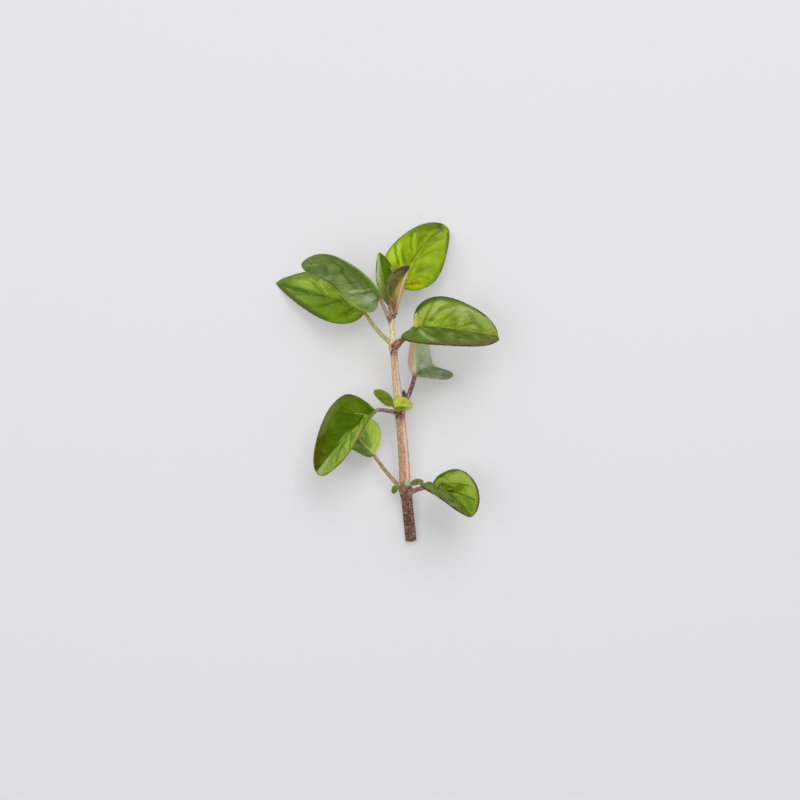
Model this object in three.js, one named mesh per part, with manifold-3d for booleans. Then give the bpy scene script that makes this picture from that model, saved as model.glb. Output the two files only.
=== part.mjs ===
// An oregano sprig, cut below its lowest pair of leaves and laid down on a flat surface.
//
// One square stem carries four pairs of leaves, a folded pair at its tip, and small side shoots
// in the angles above the two lower pairs. Each pair stands a quarter turn from the pair below
// it, so with the sprig lying down one leaf of every pair slopes down and the other rises.
// The sprig rests on its cut end and on the undersides of the leaves that slope down.
//
// Millimetres. +Y runs along the stem towards the tip, +Z is up, and z = 0 is the surface.
import * as THREE from "three";
import { mergeVertices } from "three/addons/utils/BufferGeometryUtils.js";
import Module from "manifold-3d";

const wasm = await Module();
wasm.setup();

// ---- Driving dimensions ----------------------------------------------------------------------

const BLADE_THICKNESS = 0.6;
const SEAT_GAP = 0.25; // between a leaf's stalk and the stem that carries it
const VEIN_PAIRS = 4; // side veins on each half of a full leaf
const VEIN_SLANT = 0.16; // how far a side vein runs forward before it meets the margin
const VEIN_CURVE = 1.2; // 1 is straight, and more leaves the midrib more squarely
const ROWS_PER_VEIN = 3;
const RIB_VALLEY = 1.2; // how far from the midrib the blade's thickness still leans towards it
const KEEL_END = 0.86; // where the midrib's keel fades out, as a share of the blade's length
const KEEL_TIP = 0.14; // the keel's radius there
const KEEL_SINK = 0.2; // how far the keel's axis hangs below the middle of the blade
const STALK_SIDES = 6;
const SLIVER = 0.01; // faces that stand out less than this are merged into their neighbours
const STEM_SIDES = 12;
const STEM_SQUARENESS = 3.4; // 2 would be round, and more is squarer

// A full leaf is drawn finely. A small one, narrower than this half width, has one pair of side
// veins, less relief and fewer faces.
const SMALL_LEAF = 4;
const FULL = { veins: VEIN_PAIRS, relief: 0.3, stops: [0, 0.25, 0.5, 0.78, 1], stalk: 8, keel: 9 };
const SMALL = { veins: 1, relief: 0.12, stops: [0, 0.6, 1], stalk: 4, keel: 4 };

// The stem's centre line from the cut end to the tip, with the half width of its flat sides.
const STEM_STATIONS = [
  { name: "cut end", at: [4.6, -31.8, 0.8], half: 0.96 },
  { name: "below pair 1", at: [3.8, -24.0, 2.3], half: 0.96 },
  { name: "pair 1", at: [3.5, -21.6, 2.7], half: 0.98 },
  { name: "between pairs 1 and 2", at: [3.0, -13.0, 4.5], half: 0.88 },
  { name: "pair 2", at: [2.3, -5.8, 6.2], half: 0.8 },
  { name: "between pairs 2 and 3", at: [1.7, -0.4, 7.4], half: 0.68 },
  { name: "pair 3", at: [1.1, 6.6, 8.7], half: 0.56 },
  { name: "between pairs 3 and 4", at: [0.9, 9.4, 9.2], half: 0.44 },
  { name: "pair 4", at: [0.75, 11.8, 9.7], half: 0.4 },
  { name: "tip", at: [0.85, 14.2, 10.2], half: 0.2 },
];
// Where the stem swells to carry a pair of leaves: the place along Y, the added half width and
// the length of stem that swells.
const SWELLINGS = [
  { y: -21.6, by: 0.2, over: 1.2 },
  { y: -5.9, by: 0.2, over: 0.9 },
  { y: 6.5, by: 0.26, over: 0.8 },
  { y: 11.7, by: 0.2, over: 0.7 },
];

// Each leaf: `stalk` runs from inside the stem through its bend to the foot of the blade, and
// `rib` gives the other three control points of the midrib, which starts at that foot.
// `faces` is where the upper side looks at the foot and at the tip. `right` and `left` are the
// halves of the blade, seen from the foot with the upper side up: the widest half width laid
// flat, the angles in degrees at which the half rises from the midrib at the foot and at the
// tip, how much further it turns by its margin, and how far it reaches back past the foot as a
// share of the leaf's length. `blunt` rounds the tip, less being blunter, and `broad` moves the
// widest place towards the foot, less being nearer, and a half may have its own. A `settle`
// changes the angle early, within about that share of the length, instead of evenly.
const LEAVES = [
  {
    name: "leaf_1_left",
    colour: 0x6f9626,
    stalk: { from: [3.0, -21.7, 2.6], bend: [-0.5, -18.3, 3.2], thick: 0.37 },
    foot: [-2.75, -14.7, 3.2],
    rib: [[-4.5, -12.8, 3.3], [-8.0, -9.6, 2.4], [-10.6, -7.4, 1.0]],
    faces: [[0.25, 0.25, 1], [0.1, 0.1, 1]],
    right: { wide: 4.8, fold: [30, 20], curl: -18, lobe: -0.12, broad: 0.8 },
    left: { wide: 4.8, fold: [66, 44], curl: -20, lobe: 0 },
    blunt: 0.62,
    broad: 0.66,
    wave: 0.15,
  },
  {
    name: "leaf_1_right",
    colour: 0x5f8232,
    stalk: { from: [3.7, -22.6, 2.9], bend: [6.0, -21.0, 5.0], thick: 0.44 },
    foot: [8.5, -20.9, 7.2],
    rib: [[11.6, -21.4, 10.2], [14.7, -23.3, 12.6], [16.2, -26.4, 13.2]],
    faces: [[0.1, 0.9, 0.75], [0.5, 0.5, 0.7]],
    right: { wide: 6.6, fold: [50, 16], curl: -20, lobe: 0 },
    left: { wide: 5.6, fold: [38, 30], curl: -18, lobe: 0 },
    blunt: 0.6,
    broad: 0.66,
    wave: 0.12,
  },
  {
    name: "leaf_2_left",
    colour: 0x55761f,
    stalk: { from: [1.7, -6.3, 6.8], bend: [-1.6, -5.4, 10.4], thick: 0.37 },
    foot: [-2.4, -5.95, 10.6],
    rib: [[-5.2, -8.0, 12.2], [-10.2, -12.8, 11.6], [-14.0, -18.0, 8.6]],
    faces: [[-0.3, 0.5, 1], [-0.3, 0.35, 0.9]],
    right: { wide: 7.5, fold: [16, 34], curl: -34, lobe: 0, blunt: 0.66 },
    left: { wide: 5.7, fold: [66, 12], curl: -10, lobe: 0, broad: 1.0, blunt: 0.56 },
    blunt: 0.78,
    broad: 0.5,
    wave: 0.15,
  },
  {
    name: "leaf_2_right",
    colour: 0x8c9c6c,
    stalk: { from: [2.9, -5.2, 6.0], bend: [4.7, -2.0, 6.4], thick: 0.45 },
    foot: [5.3, 0.85, 6.6],
    rib: [[5.45, 4.2, 7.4], [5.6, 9.0, 6.4], [7.4, 13.6, 2.6]],
    faces: [[0.12, 0.0, -1], [0.0, -0.2, -1]],
    right: { wide: 4.2, fold: [70, 70], curl: 0, lobe: 0, broad: 0.75 },
    left: { wide: 8.5, fold: [-10, 71], curl: 0, lobe: 0.015 },
    settle: 0.045,
    blunt: 0.5,
    broad: 0.36,
    wave: 0.1,
  },
  {
    name: "leaf_3_left",
    colour: 0x5d8a24,
    stalk: { from: [0.7, 7.2, 8.6], bend: [-2.9, 10.3, 7.8], thick: 0.37 },
    foot: [-4.6, 13.6, 6.6],
    rib: [[-9.4, 16.4, 5.6], [-16.4, 17.4, 2.4], [-22.4, 19.5, -0.2]],
    faces: [[0.1, 0.1, 1], [-0.2, 0.05, 1]],
    right: { wide: 5.9, fold: [14, 16], curl: -18, lobe: 0.03, blunt: 0.72 },
    left: { wide: 4.7, fold: [24, 20], curl: -22, lobe: 0.08 },
    blunt: 0.92,
    broad: 0.62,
    wave: 0.15,
  },
  {
    name: "leaf_3_right",
    colour: 0x6c9430,
    stalk: { from: [1.4, 6.8, 9.1], bend: [3.2, 8.0, 10.8], thick: 0.42 },
    foot: [5.15, 10.3, 12.6],
    rib: [[9.8, 10.8, 15.0], [16.0, 9.2, 14.6], [21.5, 8.7, 11.3]],
    faces: [[0.0, 0.62, 1], [0.1, 0.5, 1]],
    right: { wide: 5.8, fold: [36, 34], curl: -22, lobe: 0.23 },
    left: { wide: 6.3, fold: [30, 24], curl: -26, lobe: 0.03 },
    blunt: 0.49,
    broad: 0.66,
    wave: 0.15,
  },
  {
    name: "leaf_4_left",
    colour: 0x5f7f48,
    stalk: { from: [0.4, 12.2, 10.0], bend: [-0.8, 14.0, 11.4], thick: 0.32 },
    foot: [-1.5, 16.2, 12.6],
    rib: [[-4.6, 19.4, 14.6], [-9.0, 24.6, 14.8], [-16.6, 22.0, 11.8]],
    faces: [[-0.2, -0.6, 1], [-0.2, -0.4, 1]],
    right: { wide: 5.1, fold: [70, 32], curl: -10, lobe: 0 },
    left: { wide: 5.2, fold: [26, 18], curl: -26, lobe: 0.2 },
    blunt: 0.5,
    broad: 0.62,
    wave: 0.18,
  },
  {
    name: "leaf_4_right",
    colour: 0x7da82c,
    stalk: { from: [1.0, 12.2, 9.5], bend: [2.0, 15.2, 8.8], thick: 0.3 },
    foot: [3.2, 18.0, 7.8],
    rib: [[3.8, 21.6, 6.6], [6.3, 27.4, 3.3], [11.6, 30.9, -0.2]],
    faces: [[-0.25, 0.3, 1], [-0.2, 0.3, 1]],
    right: { wide: 6.4, fold: [20, 20], curl: -22, lobe: 0.12 },
    left: { wide: 5.5, fold: [24, 24], curl: -20, lobe: 0.03 },
    blunt: 0.56,
    broad: 0.7,
    wave: 0.15,
  },
  {
    name: "tip_leaf_left",
    colour: 0x4a7018,
    stalk: { from: [0.6, 13.4, 10.0], bend: [0.3, 14.2, 9.9], thick: 0.22 },
    foot: [0.1, 15.0, 9.8],
    rib: [[-0.4, 17.8, 9.5], [-1.1, 21.4, 9.2], [-1.7, 25.0, 9.4]],
    faces: [[0.7, 0.0, 0.8], [0.5, 0.0, 0.9]],
    right: { wide: 2.5, fold: [10, 44], curl: 10, lobe: 0 },
    left: { wide: 2.1, fold: [10, 40], curl: -10, lobe: 0 },
    blunt: 0.66,
    broad: 0.9,
    wave: 0.05,
  },
  {
    name: "tip_leaf_right",
    colour: 0x6a6a34,
    stalk: { from: [1.15, 12.7, 10.3], bend: [1.25, 12.9, 10.9], thick: 0.38 },
    foot: [1.45, 13.2, 11.3],
    rib: [[2.0, 16.0, 12.3], [2.6, 19.2, 13.0], [4.2, 22.2, 12.6]],
    faces: [[-0.75, 0.2, -0.6], [-0.75, 0.2, -0.5]],
    right: { wide: 3.0, fold: [36, 40], curl: 20, lobe: 0 },
    left: { wide: 2.7, fold: [30, 30], curl: 20, lobe: 0 },
    blunt: 0.66,
    broad: 1.25,
    wave: 0.05,
  },
];

// The side shoots are still small: each is one or two leaflets that grow from one point in the
// angle above a leaf's stalk.
const SIDE_SHOOTS = [
  {
    name: "side_shoot_1_left",
    colour: 0x56702a,
    leaflets: [
      {
        stalk: { from: [2.8, -20.6, 3.3], bend: [2.0, -20.7, 4.1], thick: 0.28 },
        foot: [1.75, -20.8, 4.4],
        rib: [[1.5, -21.1, 4.6], [1.2, -21.7, 4.6], [1.0, -22.3, 4.3]],
        faces: [[-0.2, 0.2, 1], [-0.2, -0.2, 1]],
        right: { wide: 0.6, fold: [10, 10], curl: -20, lobe: 0 },
        left: { wide: 0.6, fold: [10, 10], curl: -20, lobe: 0 },
        blunt: 0.5,
        broad: 0.8,
        wave: 0,
      },
    ],
  },
  {
    name: "side_shoot_1_right",
    colour: 0x6b7434,
    leaflets: [
      {
        stalk: { from: [3.6, -20.9, 3.4], bend: [4.1, -20.6, 4.6], thick: 0.26 },
        foot: [4.6, -20.6, 4.8],
        rib: [[5.2, -20.3, 5.1], [6.0, -20.0, 5.4], [7.0, -19.95, 5.3]],
        faces: [[0, -0.1, 1], [0.2, 0.1, 1]],
        right: { wide: 0.4, fold: [20, 10], curl: -20, lobe: 0 },
        left: { wide: 0.75, fold: [20, 10], curl: -20, lobe: 0 },
        blunt: 0.5,
        broad: 0.9,
        wave: 0,
      },
      {
        stalk: { from: [3.6, -20.9, 3.4], bend: [3.9, -20.9, 4.6], thick: 0.26 },
        foot: [3.9, -20.7, 4.8],
        rib: [[3.85, -20.4, 4.9], [3.8, -20.0, 4.9], [3.75, -19.4, 4.75]],
        faces: [[0, 0, 1], [0, 0, 1]],
        right: { wide: 0.5, fold: [10, 10], curl: -20, lobe: 0 },
        left: { wide: 0.5, fold: [10, 10], curl: -20, lobe: 0 },
        blunt: 0.7,
        broad: 0.6,
        wave: 0,
      },
    ],
  },
  {
    name: "side_shoot_2_left",
    colour: 0x6a8a26,
    leaflets: [
      {
        stalk: { from: [2.2, -5.2, 6.8], bend: [1.2, -5.1, 7.6], thick: 0.3 },
        foot: [0.9, -4.8, 7.7],
        rib: [[-0.1, -4.2, 7.9], [-1.2, -2.6, 8.3], [-2.7, -2.2, 8.2]],
        faces: [[0, 0, 1], [-0.2, 0, 1]],
        right: { wide: 1.2, fold: [10, 10], curl: -20, lobe: 0 },
        left: { wide: 0.95, fold: [10, 10], curl: -20, lobe: 0 },
        blunt: 0.5,
        broad: 0.95,
        wave: 0,
      },
      {
        stalk: { from: [2.2, -5.2, 6.8], bend: [1.2, -5.1, 7.6], thick: 0.3 },
        foot: [1.3, -5.1, 8.0],
        rib: [[2.2, -4.8, 8.5], [3.4, -4.8, 9.0], [4.7, -5.2, 8.8]],
        faces: [[0.1, 0.3, 1], [0.3, 0.3, 1]],
        right: { wide: 1.5, fold: [44, 30], curl: -10, lobe: 0 },
        left: { wide: 1.8, fold: [24, 20], curl: -20, lobe: 0 },
        blunt: 0.5,
        broad: 0.7,
        wave: 0.05,
      },
    ],
  },
  {
    name: "side_shoot_2_right",
    colour: 0x5c6b34,
    leaflets: [
      {
        stalk: { from: [2.4, -4.8, 5.6], bend: [3.2, -4.5, 5.0], thick: 0.26 },
        foot: [3.2, -3.9, 4.75],
        rib: [[3.25, -3.3, 4.75], [3.2, -2.6, 4.8], [3.05, -1.9, 4.9]],
        faces: [[-0.6, 0, 1], [-0.4, 0, 1]],
        right: { wide: 0.55, fold: [20, 20], curl: 0, lobe: 0 },
        left: { wide: 0.55, fold: [20, 20], curl: 0, lobe: 0 },
        blunt: 0.7,
        broad: 0.8,
        wave: 0,
      },
    ],
  },
];

// ---- Solids ----------------------------------------------------------------------------------

const vec = (xyz) => new THREE.Vector3(...xyz);
const lerp = THREE.MathUtils.lerp;

/** A closed geometry from loose triangles, each one three points, with the empty ones dropped. */
function closedGeometry(triangles) {
  const loose = new THREE.BufferGeometry();
  const flat = triangles.flatMap((triangle) => triangle.flatMap((point) => point.toArray()));
  loose.setAttribute("position", new THREE.Float32BufferAttribute(flat, 3));
  const merged = mergeVertices(loose, 1e-4);
  const corners = merged.index.array;
  const kept = [];
  for (let i = 0; i < corners.length; i += 3) {
    const [a, b, c] = corners.slice(i, i + 3);
    if (a !== b && b !== c && c !== a) kept.push(a, b, c);
  }
  merged.setIndex(kept);
  return merged;
}

function solidOf(geometry) {
  return new wasm.Manifold(
    new wasm.Mesh({
      numProp: 3,
      vertProperties: new Float32Array(geometry.getAttribute("position").array),
      triVerts: new Uint32Array(geometry.index.array),
    }),
  );
}

function geometryOf(solid) {
  const mesh = solid.getMesh();
  const geometry = new THREE.BufferGeometry();
  geometry.setAttribute("position", new THREE.BufferAttribute(mesh.vertProperties, 3));
  geometry.setIndex(new THREE.BufferAttribute(mesh.triVerts, 1));
  const shaded = geometry.toNonIndexed();
  shaded.computeVertexNormals();
  return shaded;
}

/** The largest of the bodies that a cut leaves, with its slivers merged away. */
function largest(solid) {
  const body = solid.decompose().reduce((a, b) => (a.volume() > b.volume() ? a : b));
  return body.simplify(SLIVER);
}

/** A closed skin over rings of points, each ring with as many points as the next. */
function loftedSolid(rings) {
  const triangles = [];
  const count = rings[0].length;
  for (let i = 0; i + 1 < rings.length; i++) {
    for (let j = 0; j < count; j++) {
      const k = (j + 1) % count;
      triangles.push([rings[i][j], rings[i][k], rings[i + 1][k]]);
      triangles.push([rings[i][j], rings[i + 1][k], rings[i + 1][j]]);
    }
  }
  const middle = (ring) =>
    ring.reduce((sum, p) => sum.add(p), new THREE.Vector3()).divideScalar(ring.length);
  const first = rings[0];
  const last = rings[rings.length - 1];
  for (let j = 0; j < count; j++) {
    const k = (j + 1) % count;
    triangles.push([middle(first), first[k], first[j]]);
    triangles.push([middle(last), last[j], last[k]]);
  }
  return solidOf(closedGeometry(triangles));
}

// ---- The stem --------------------------------------------------------------------------------

const stemLine = new THREE.CatmullRomCurve3(STEM_STATIONS.map((s) => vec(s.at)));

/** Half the stem's width, flat side to flat side, at a share of the way along its stations. */
function stemHalfWidth(share) {
  const place = share * (STEM_STATIONS.length - 1);
  const i = Math.min(Math.floor(place), STEM_STATIONS.length - 2);
  const plain = lerp(STEM_STATIONS[i].half, STEM_STATIONS[i + 1].half, place - i);
  const y = stemLine.getPoint(share).y;
  const swell = (s) => s.by * Math.exp(-(((y - s.y) / s.over) ** 2));
  return plain + SWELLINGS.reduce((sum, s) => sum + swell(s), 0);
}

/** The stem as a solid, its square section set corner up, grown by `extra` all round. */
function stemSolid(extra = 0, steps = 40) {
  const rings = [];
  for (let i = 0; i <= steps; i++) {
    const share = i / steps;
    const centre = stemLine.getPoint(share);
    const along = stemLine.getTangent(share);
    const across = new THREE.Vector3(0, 0, 1).cross(along).normalize();
    const up = along.clone().cross(across);
    const half = stemHalfWidth(share);
    const ring = [];
    for (let j = 0; j < STEM_SIDES; j++) {
      const angle = (2 * Math.PI * (j + 0.5)) / STEM_SIDES;
      const cos = Math.abs(Math.cos(angle)) ** STEM_SQUARENESS;
      const sin = Math.abs(Math.sin(angle)) ** STEM_SQUARENESS;
      const radius = half / (cos + sin) ** (1 / STEM_SQUARENESS) + extra;
      const turned = angle + Math.PI / 4;
      const point = centre.clone();
      point.addScaledVector(across, radius * Math.cos(turned));
      point.addScaledVector(up, radius * Math.sin(turned));
      point.z = Math.max(point.z, 0);
      ring.push(point);
    }
    rings.push(ring);
  }
  return loftedSolid(rings);
}

// ---- A leaf ----------------------------------------------------------------------------------

/** How wide one half of the flat blade is, as a share of its widest, at a share of its length. */
function outline(leaf, half, along) {
  const inside = THREE.MathUtils.clamp(along, 0, 1);
  const broad = half.broad ?? leaf.broad;
  const blunt = half.blunt ?? leaf.blunt;
  return Math.max(0, Math.sin(Math.PI * inside ** broad)) ** blunt;
}

/** The midrib's place and directions at a share of its length: ahead, up and to the right. */
function ribFrame(leaf, along) {
  const inside = THREE.MathUtils.clamp(along, 0, 1);
  const ahead = leaf.ribCurve.getTangent(inside);
  const place = leaf.ribCurve.getPoint(inside);
  place.addScaledVector(ahead, (along - inside) * leaf.length);
  const up = vec(leaf.faces[0]).lerp(vec(leaf.faces[1]), inside);
  up.addScaledVector(ahead, -up.dot(ahead)).normalize();
  const right = ahead.clone().cross(up);
  return { place, ahead, up, right };
}

/** A point of the blade's middle surface and the way its upper side looks there. The row runs
 *  along a side vein from the midrib (across = 0) to the right or left margin (across = 1, -1). */
function bladePoint(leaf, row, across) {
  const side = across < 0 ? -1 : 1;
  const half = across < 0 ? leaf.left : leaf.right;
  const out = Math.abs(across);
  const start = (row ** 1.4 + 0.5 * (1 - Math.cos(Math.PI * row))) / 2;
  const end = start + 4 * VEIN_SLANT * start * (1 - start);
  const width = outline(leaf, half, end);
  const behind = half.lobe * width * out ** 2 * (1 - end) ** 4;
  const along = start + (end - start) * out ** VEIN_CURVE - behind;
  const reach = half.wide * width * out;
  const frame = ribFrame(leaf, along);

  const inside = THREE.MathUtils.clamp(along, 0, 1);
  const share = leaf.settle ? 1 - Math.exp(-inside / leaf.settle) : inside;
  const fold = THREE.MathUtils.degToRad(lerp(...half.fold, share));
  const bend = THREE.MathUtils.degToRad(half.curl || 0.01) / half.wide;
  const turned = fold + bend * reach;
  const outwards = (Math.sin(turned) - Math.sin(fold)) / bend;
  const upwards = (Math.cos(fold) - Math.cos(turned)) / bend;

  const leaning = turned * Math.min(1, reach / RIB_VALLEY);
  const normal = frame.up.clone().multiplyScalar(Math.cos(leaning));
  normal.addScaledVector(frame.right, -side * Math.sin(leaning));

  // Between its side veins the blade rises in pillows, and along its margin it ripples.
  const pillow = 0.5 * (1 - Math.cos(2 * Math.PI * (leaf.detail.veins + 1) * row));
  const puff = leaf.detail.relief * pillow * Math.sin(Math.PI * out) * width;
  const ripple = leaf.wave * Math.sin(2 * Math.PI * (2.5 * row + 0.3 * side)) * out ** 3 * width;
  const point = frame.place.clone();
  point.addScaledVector(frame.right, side * outwards);
  point.addScaledVector(frame.up, upwards);
  point.addScaledVector(normal, puff + ripple);
  return { point, normal };
}

/** The blade as a solid of even thickness, both faces split into triangles alike. */
function bladeSolid(leaf) {
  const rows = ROWS_PER_VEIN * (leaf.detail.veins + 1);
  const stops = leaf.detail.stops;
  const acrossStops = [...stops.slice(1).reverse().map((s) => -s), ...stops];
  const faces = [1, -1].map((face) => {
    const grid = [];
    for (let i = 0; i <= rows; i++) {
      grid.push(
        acrossStops.map((across) => {
          const { point, normal } = bladePoint(leaf, i / rows, across);
          point.addScaledVector(normal, (face * BLADE_THICKNESS) / 2);
          return point;
        }),
      );
    }
    return grid;
  });
  const [upper, lower] = faces;
  pressOnSurface(upper, lower);
  const triangles = [];
  const last = acrossStops.length - 1;
  for (let i = 0; i < rows; i++) {
    for (let j = 0; j < last; j++) {
      const left = acrossStops[j] < 0;
      const cells = [upper, lower].map((g) => [g[i][j], g[i][j + 1], g[i + 1][j + 1], g[i + 1][j]]);
      const [u, l] = cells;
      const split = left ? [[0, 1, 3], [1, 2, 3]] : [[0, 1, 2], [0, 2, 3]];
      for (const [a, b, c] of split) {
        triangles.push([u[a], u[b], u[c]]);
        triangles.push([l[a], l[c], l[b]]);
      }
    }
    for (const [j, turn] of [[0, 1], [last, -1]]) {
      const [a, b, c, d] = [upper[i][j], lower[i][j], lower[i + 1][j], upper[i + 1][j]];
      if (turn < 0) triangles.push([a, b, c], [a, c, d]);
      else triangles.push([a, c, b], [a, d, c]);
    }
  }
  return solidOf(closedGeometry(triangles));
}

/** Lays whatever would reach below the surface flat on it. */
function pressOnSurface(upper, lower) {
  upper.forEach((row, i) =>
    row.forEach((point, j) => {
      const other = lower[i][j];
      const [low, high] = point.z < other.z ? [point, other] : [other, point];
      low.z = Math.max(low.z, 0);
      high.z = Math.max(high.z, BLADE_THICKNESS);
    }),
  );
}

/** The leaf's stalk, run on under the blade as the keel of its midrib. */
function stalkSolid(leaf) {
  const { from, bend, thick } = leaf.stalk;
  const stalk = new THREE.QuadraticBezierCurve3(vec(from), vec(bend), vec(leaf.foot));
  const centres = [];
  const radii = [];
  const stalkSteps = leaf.detail.stalk;
  for (let i = 0; i < stalkSteps; i++) {
    centres.push(stalk.getPoint(i / stalkSteps));
    radii.push(lerp(thick * 1.15, thick * 0.9, i / stalkSteps));
  }
  const keelSteps = leaf.detail.keel;
  for (let i = 0; i <= keelSteps; i++) {
    const along = (KEEL_END * i) / keelSteps;
    const frame = ribFrame(leaf, along);
    const sink = Math.min(1, along / 0.1) * KEEL_SINK;
    centres.push(frame.place.addScaledVector(frame.up, -sink));
    radii.push(lerp(thick * 0.9, KEEL_TIP, (i / keelSteps) ** 0.7));
  }
  const rings = [];
  let side = new THREE.Vector3(0, 0, 1);
  centres.forEach((centre, i) => {
    const next = centres[Math.min(i + 1, centres.length - 1)];
    const previous = centres[Math.max(i - 1, 0)];
    const ahead = next.clone().sub(previous).normalize();
    side = side.clone().addScaledVector(ahead, -side.dot(ahead)).normalize();
    const other = ahead.clone().cross(side);
    const ring = [];
    for (let j = 0; j < STALK_SIDES; j++) {
      const angle = (2 * Math.PI * j) / STALK_SIDES;
      const point = centre.clone();
      point.addScaledVector(side, radii[i] * Math.cos(angle));
      point.addScaledVector(other, radii[i] * Math.sin(angle));
      point.z = Math.max(point.z, 0);
      ring.push(point);
    }
    rings.push(ring);
  });
  return loftedSolid(rings);
}

/** A whole leaf, blade and stalk in one. */
function leafSolid(stated) {
  const ribCurve = new THREE.CubicBezierCurve3(vec(stated.foot), ...stated.rib.map(vec));
  const detail = stated.right.wide < SMALL_LEAF ? SMALL : FULL;
  const leaf = { ...stated, detail, ribCurve, length: ribCurve.getLength() };
  return bladeSolid(leaf).add(stalkSolid(leaf));
}

// ---- The sprig -------------------------------------------------------------------------------

const STEM_COLOUR = 0xb4815f;
const STEM_ROUGHNESS = 0.65;
const LEAF_ROUGHNESS = 0.5;

const sprig = new THREE.Group();

function addPiece(name, solid, color, roughness) {
  const skin = new THREE.MeshStandardMaterial({ color, roughness, metalness: 0 });
  const mesh = new THREE.Mesh(geometryOf(solid), skin);
  mesh.name = name;
  sprig.add(mesh);
}

addPiece("main_stem", stemSolid(), STEM_COLOUR, STEM_ROUGHNESS);

// Whatever grows from the stem is cut back so that it just clears it.
const stemClearance = stemSolid(SEAT_GAP);
for (const leaf of LEAVES) {
  const solid = leafSolid(leaf).subtract(stemClearance);
  addPiece(leaf.name, largest(solid), leaf.colour, LEAF_ROUGHNESS);
}
for (const shoot of SIDE_SHOOTS) {
  const grown = shoot.leaflets.map(leafSolid).reduce((a, b) => a.add(b));
  addPiece(shoot.name, largest(grown.subtract(stemClearance)), shoot.colour, LEAF_ROUGHNESS);
}

// The origin is on the surface, below the middle of the whole sprig.
const middle = new THREE.Box3().setFromObject(sprig).getCenter(new THREE.Vector3());
for (const mesh of sprig.children) mesh.geometry.translate(-middle.x, -middle.y, 0);

export default sprig;
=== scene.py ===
# %% [markdown]
# # A cut oregano sprig, laid down on a surface
#
# The sprig has one square stem, four pairs of leaves on stalks, a folded pair at its tip and a few
# small side shoots. Every leaf is a thin sheet that is folded along its midrib and puffed up
# between its side veins, so the whole look rests on two things: the true pose of each blade, and
# a leaf skin that knows where its veins, its margin and its underside are.
#
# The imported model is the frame. It is loaded first and fixes size and place.

import math

import bmesh
import bpy
import numpy as np
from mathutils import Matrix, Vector


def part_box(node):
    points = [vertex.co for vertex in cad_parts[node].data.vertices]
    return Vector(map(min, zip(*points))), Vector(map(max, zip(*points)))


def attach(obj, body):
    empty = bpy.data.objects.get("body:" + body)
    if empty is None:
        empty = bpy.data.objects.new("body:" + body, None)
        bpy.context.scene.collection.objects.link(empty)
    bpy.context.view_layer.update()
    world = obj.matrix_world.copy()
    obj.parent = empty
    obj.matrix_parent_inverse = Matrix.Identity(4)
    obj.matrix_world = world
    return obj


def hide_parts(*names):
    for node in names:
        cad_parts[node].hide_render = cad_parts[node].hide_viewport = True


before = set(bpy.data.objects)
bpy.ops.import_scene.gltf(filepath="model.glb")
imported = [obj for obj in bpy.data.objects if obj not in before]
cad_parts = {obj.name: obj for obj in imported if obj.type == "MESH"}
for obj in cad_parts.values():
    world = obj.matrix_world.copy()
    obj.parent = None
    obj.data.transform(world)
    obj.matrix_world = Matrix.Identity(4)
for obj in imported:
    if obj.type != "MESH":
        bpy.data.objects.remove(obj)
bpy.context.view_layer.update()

# %% [markdown]
# ## Drawing coordinates
#
# Leaves are easier to think of in millimetres from a drawing's own origin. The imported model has
# its origin below the middle of its box instead. The stem's lowest corner is known in both, so
# the difference of the two carries every drawn point to its place.

# %% From the drawing to the frame
MM = 0.001
STEM_CORNER = np.array([0.077, -32.011, 0.0])
stem_low = np.array(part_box("main_stem")[0])
SHIFT = stem_low / MM - STEM_CORNER


def placed(points):
    """Points of the drawing, in millimetres, as points of the frame, in metres."""
    return (np.asarray(points, float) + SHIFT) * MM


print("drawing moved by, mm:", SHIFT.round(3))

# %% [markdown]
# ## Wires: node trees written as sums
#
# A material and a Geometry Nodes tree are both made of nodes joined by links. Written out node by
# node they are long, so one small class holds an output socket and lets Python's own signs add
# the Math nodes. Any other node comes from one method, `node`, which takes the node's type, its
# settings and what goes into its sockets. Settings come first, because some of them change which
# sockets there are.


# %% The wire class
class Wire:
    """An output socket of a node tree that can be added to, multiplied and fed on."""

    def __init__(self, tree, socket=None):
        self.tree = tree
        self.socket = socket

    def node(self, kind, settings=None, sockets=None, out=0):
        made = self.tree.nodes.new(kind)
        for name, value in (settings or {}).items():
            setattr(made, name, value)
        for key, value in (sockets or {}).items():
            if isinstance(value, Wire):
                self.tree.links.new(value.socket, made.inputs[key])
            else:
                made.inputs[key].default_value = value
        return Wire(self.tree, made.outputs[out] if made.outputs else None)

    def out(self, name):
        """Another output of the node that this wire comes from."""
        return Wire(self.tree, self.socket.node.outputs[name])

    def sum(self, operation, *values):
        return self.node("ShaderNodeMath", {"operation": operation}, dict(enumerate(values)))

    def __add__(self, other):
        return self.sum("ADD", self, other)

    def __sub__(self, other):
        return self.sum("SUBTRACT", self, other)

    def __rsub__(self, other):
        return self.sum("SUBTRACT", other, self)

    def __mul__(self, other):
        return self.sum("MULTIPLY", self, other)

    def __truediv__(self, other):
        return self.sum("DIVIDE", self, other)

    def __rtruediv__(self, other):
        return self.sum("DIVIDE", other, self)

    def __pow__(self, other):
        return self.sum("POWER", self, other)

    def __abs__(self):
        return self.sum("ABSOLUTE", self)

    __radd__ = __add__
    __rmul__ = __mul__

    def rise(self, low, high):
        """0 below low, 1 above high, and a soft step between them."""
        sockets = {"Value": self, "From Min": low, "From Max": high}
        return self.node("ShaderNodeMapRange", {"interpolation_type": "SMOOTHSTEP"}, sockets)

    def near(self, place, reach):
        """1 at a place, falling to 0 at a distance of reach from it."""
        return 1 - abs(self - place).rise(0.0, reach)


# %% [markdown]
# ## Paint
#
# Colours are written as a painter would mix them, in the usual hexadecimal form of a screen
# colour. Light adds up in linear values, so each is turned into linear ones once, here. Colours
# are mixed with a Mix node, because a Math node would turn them grey.


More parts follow.
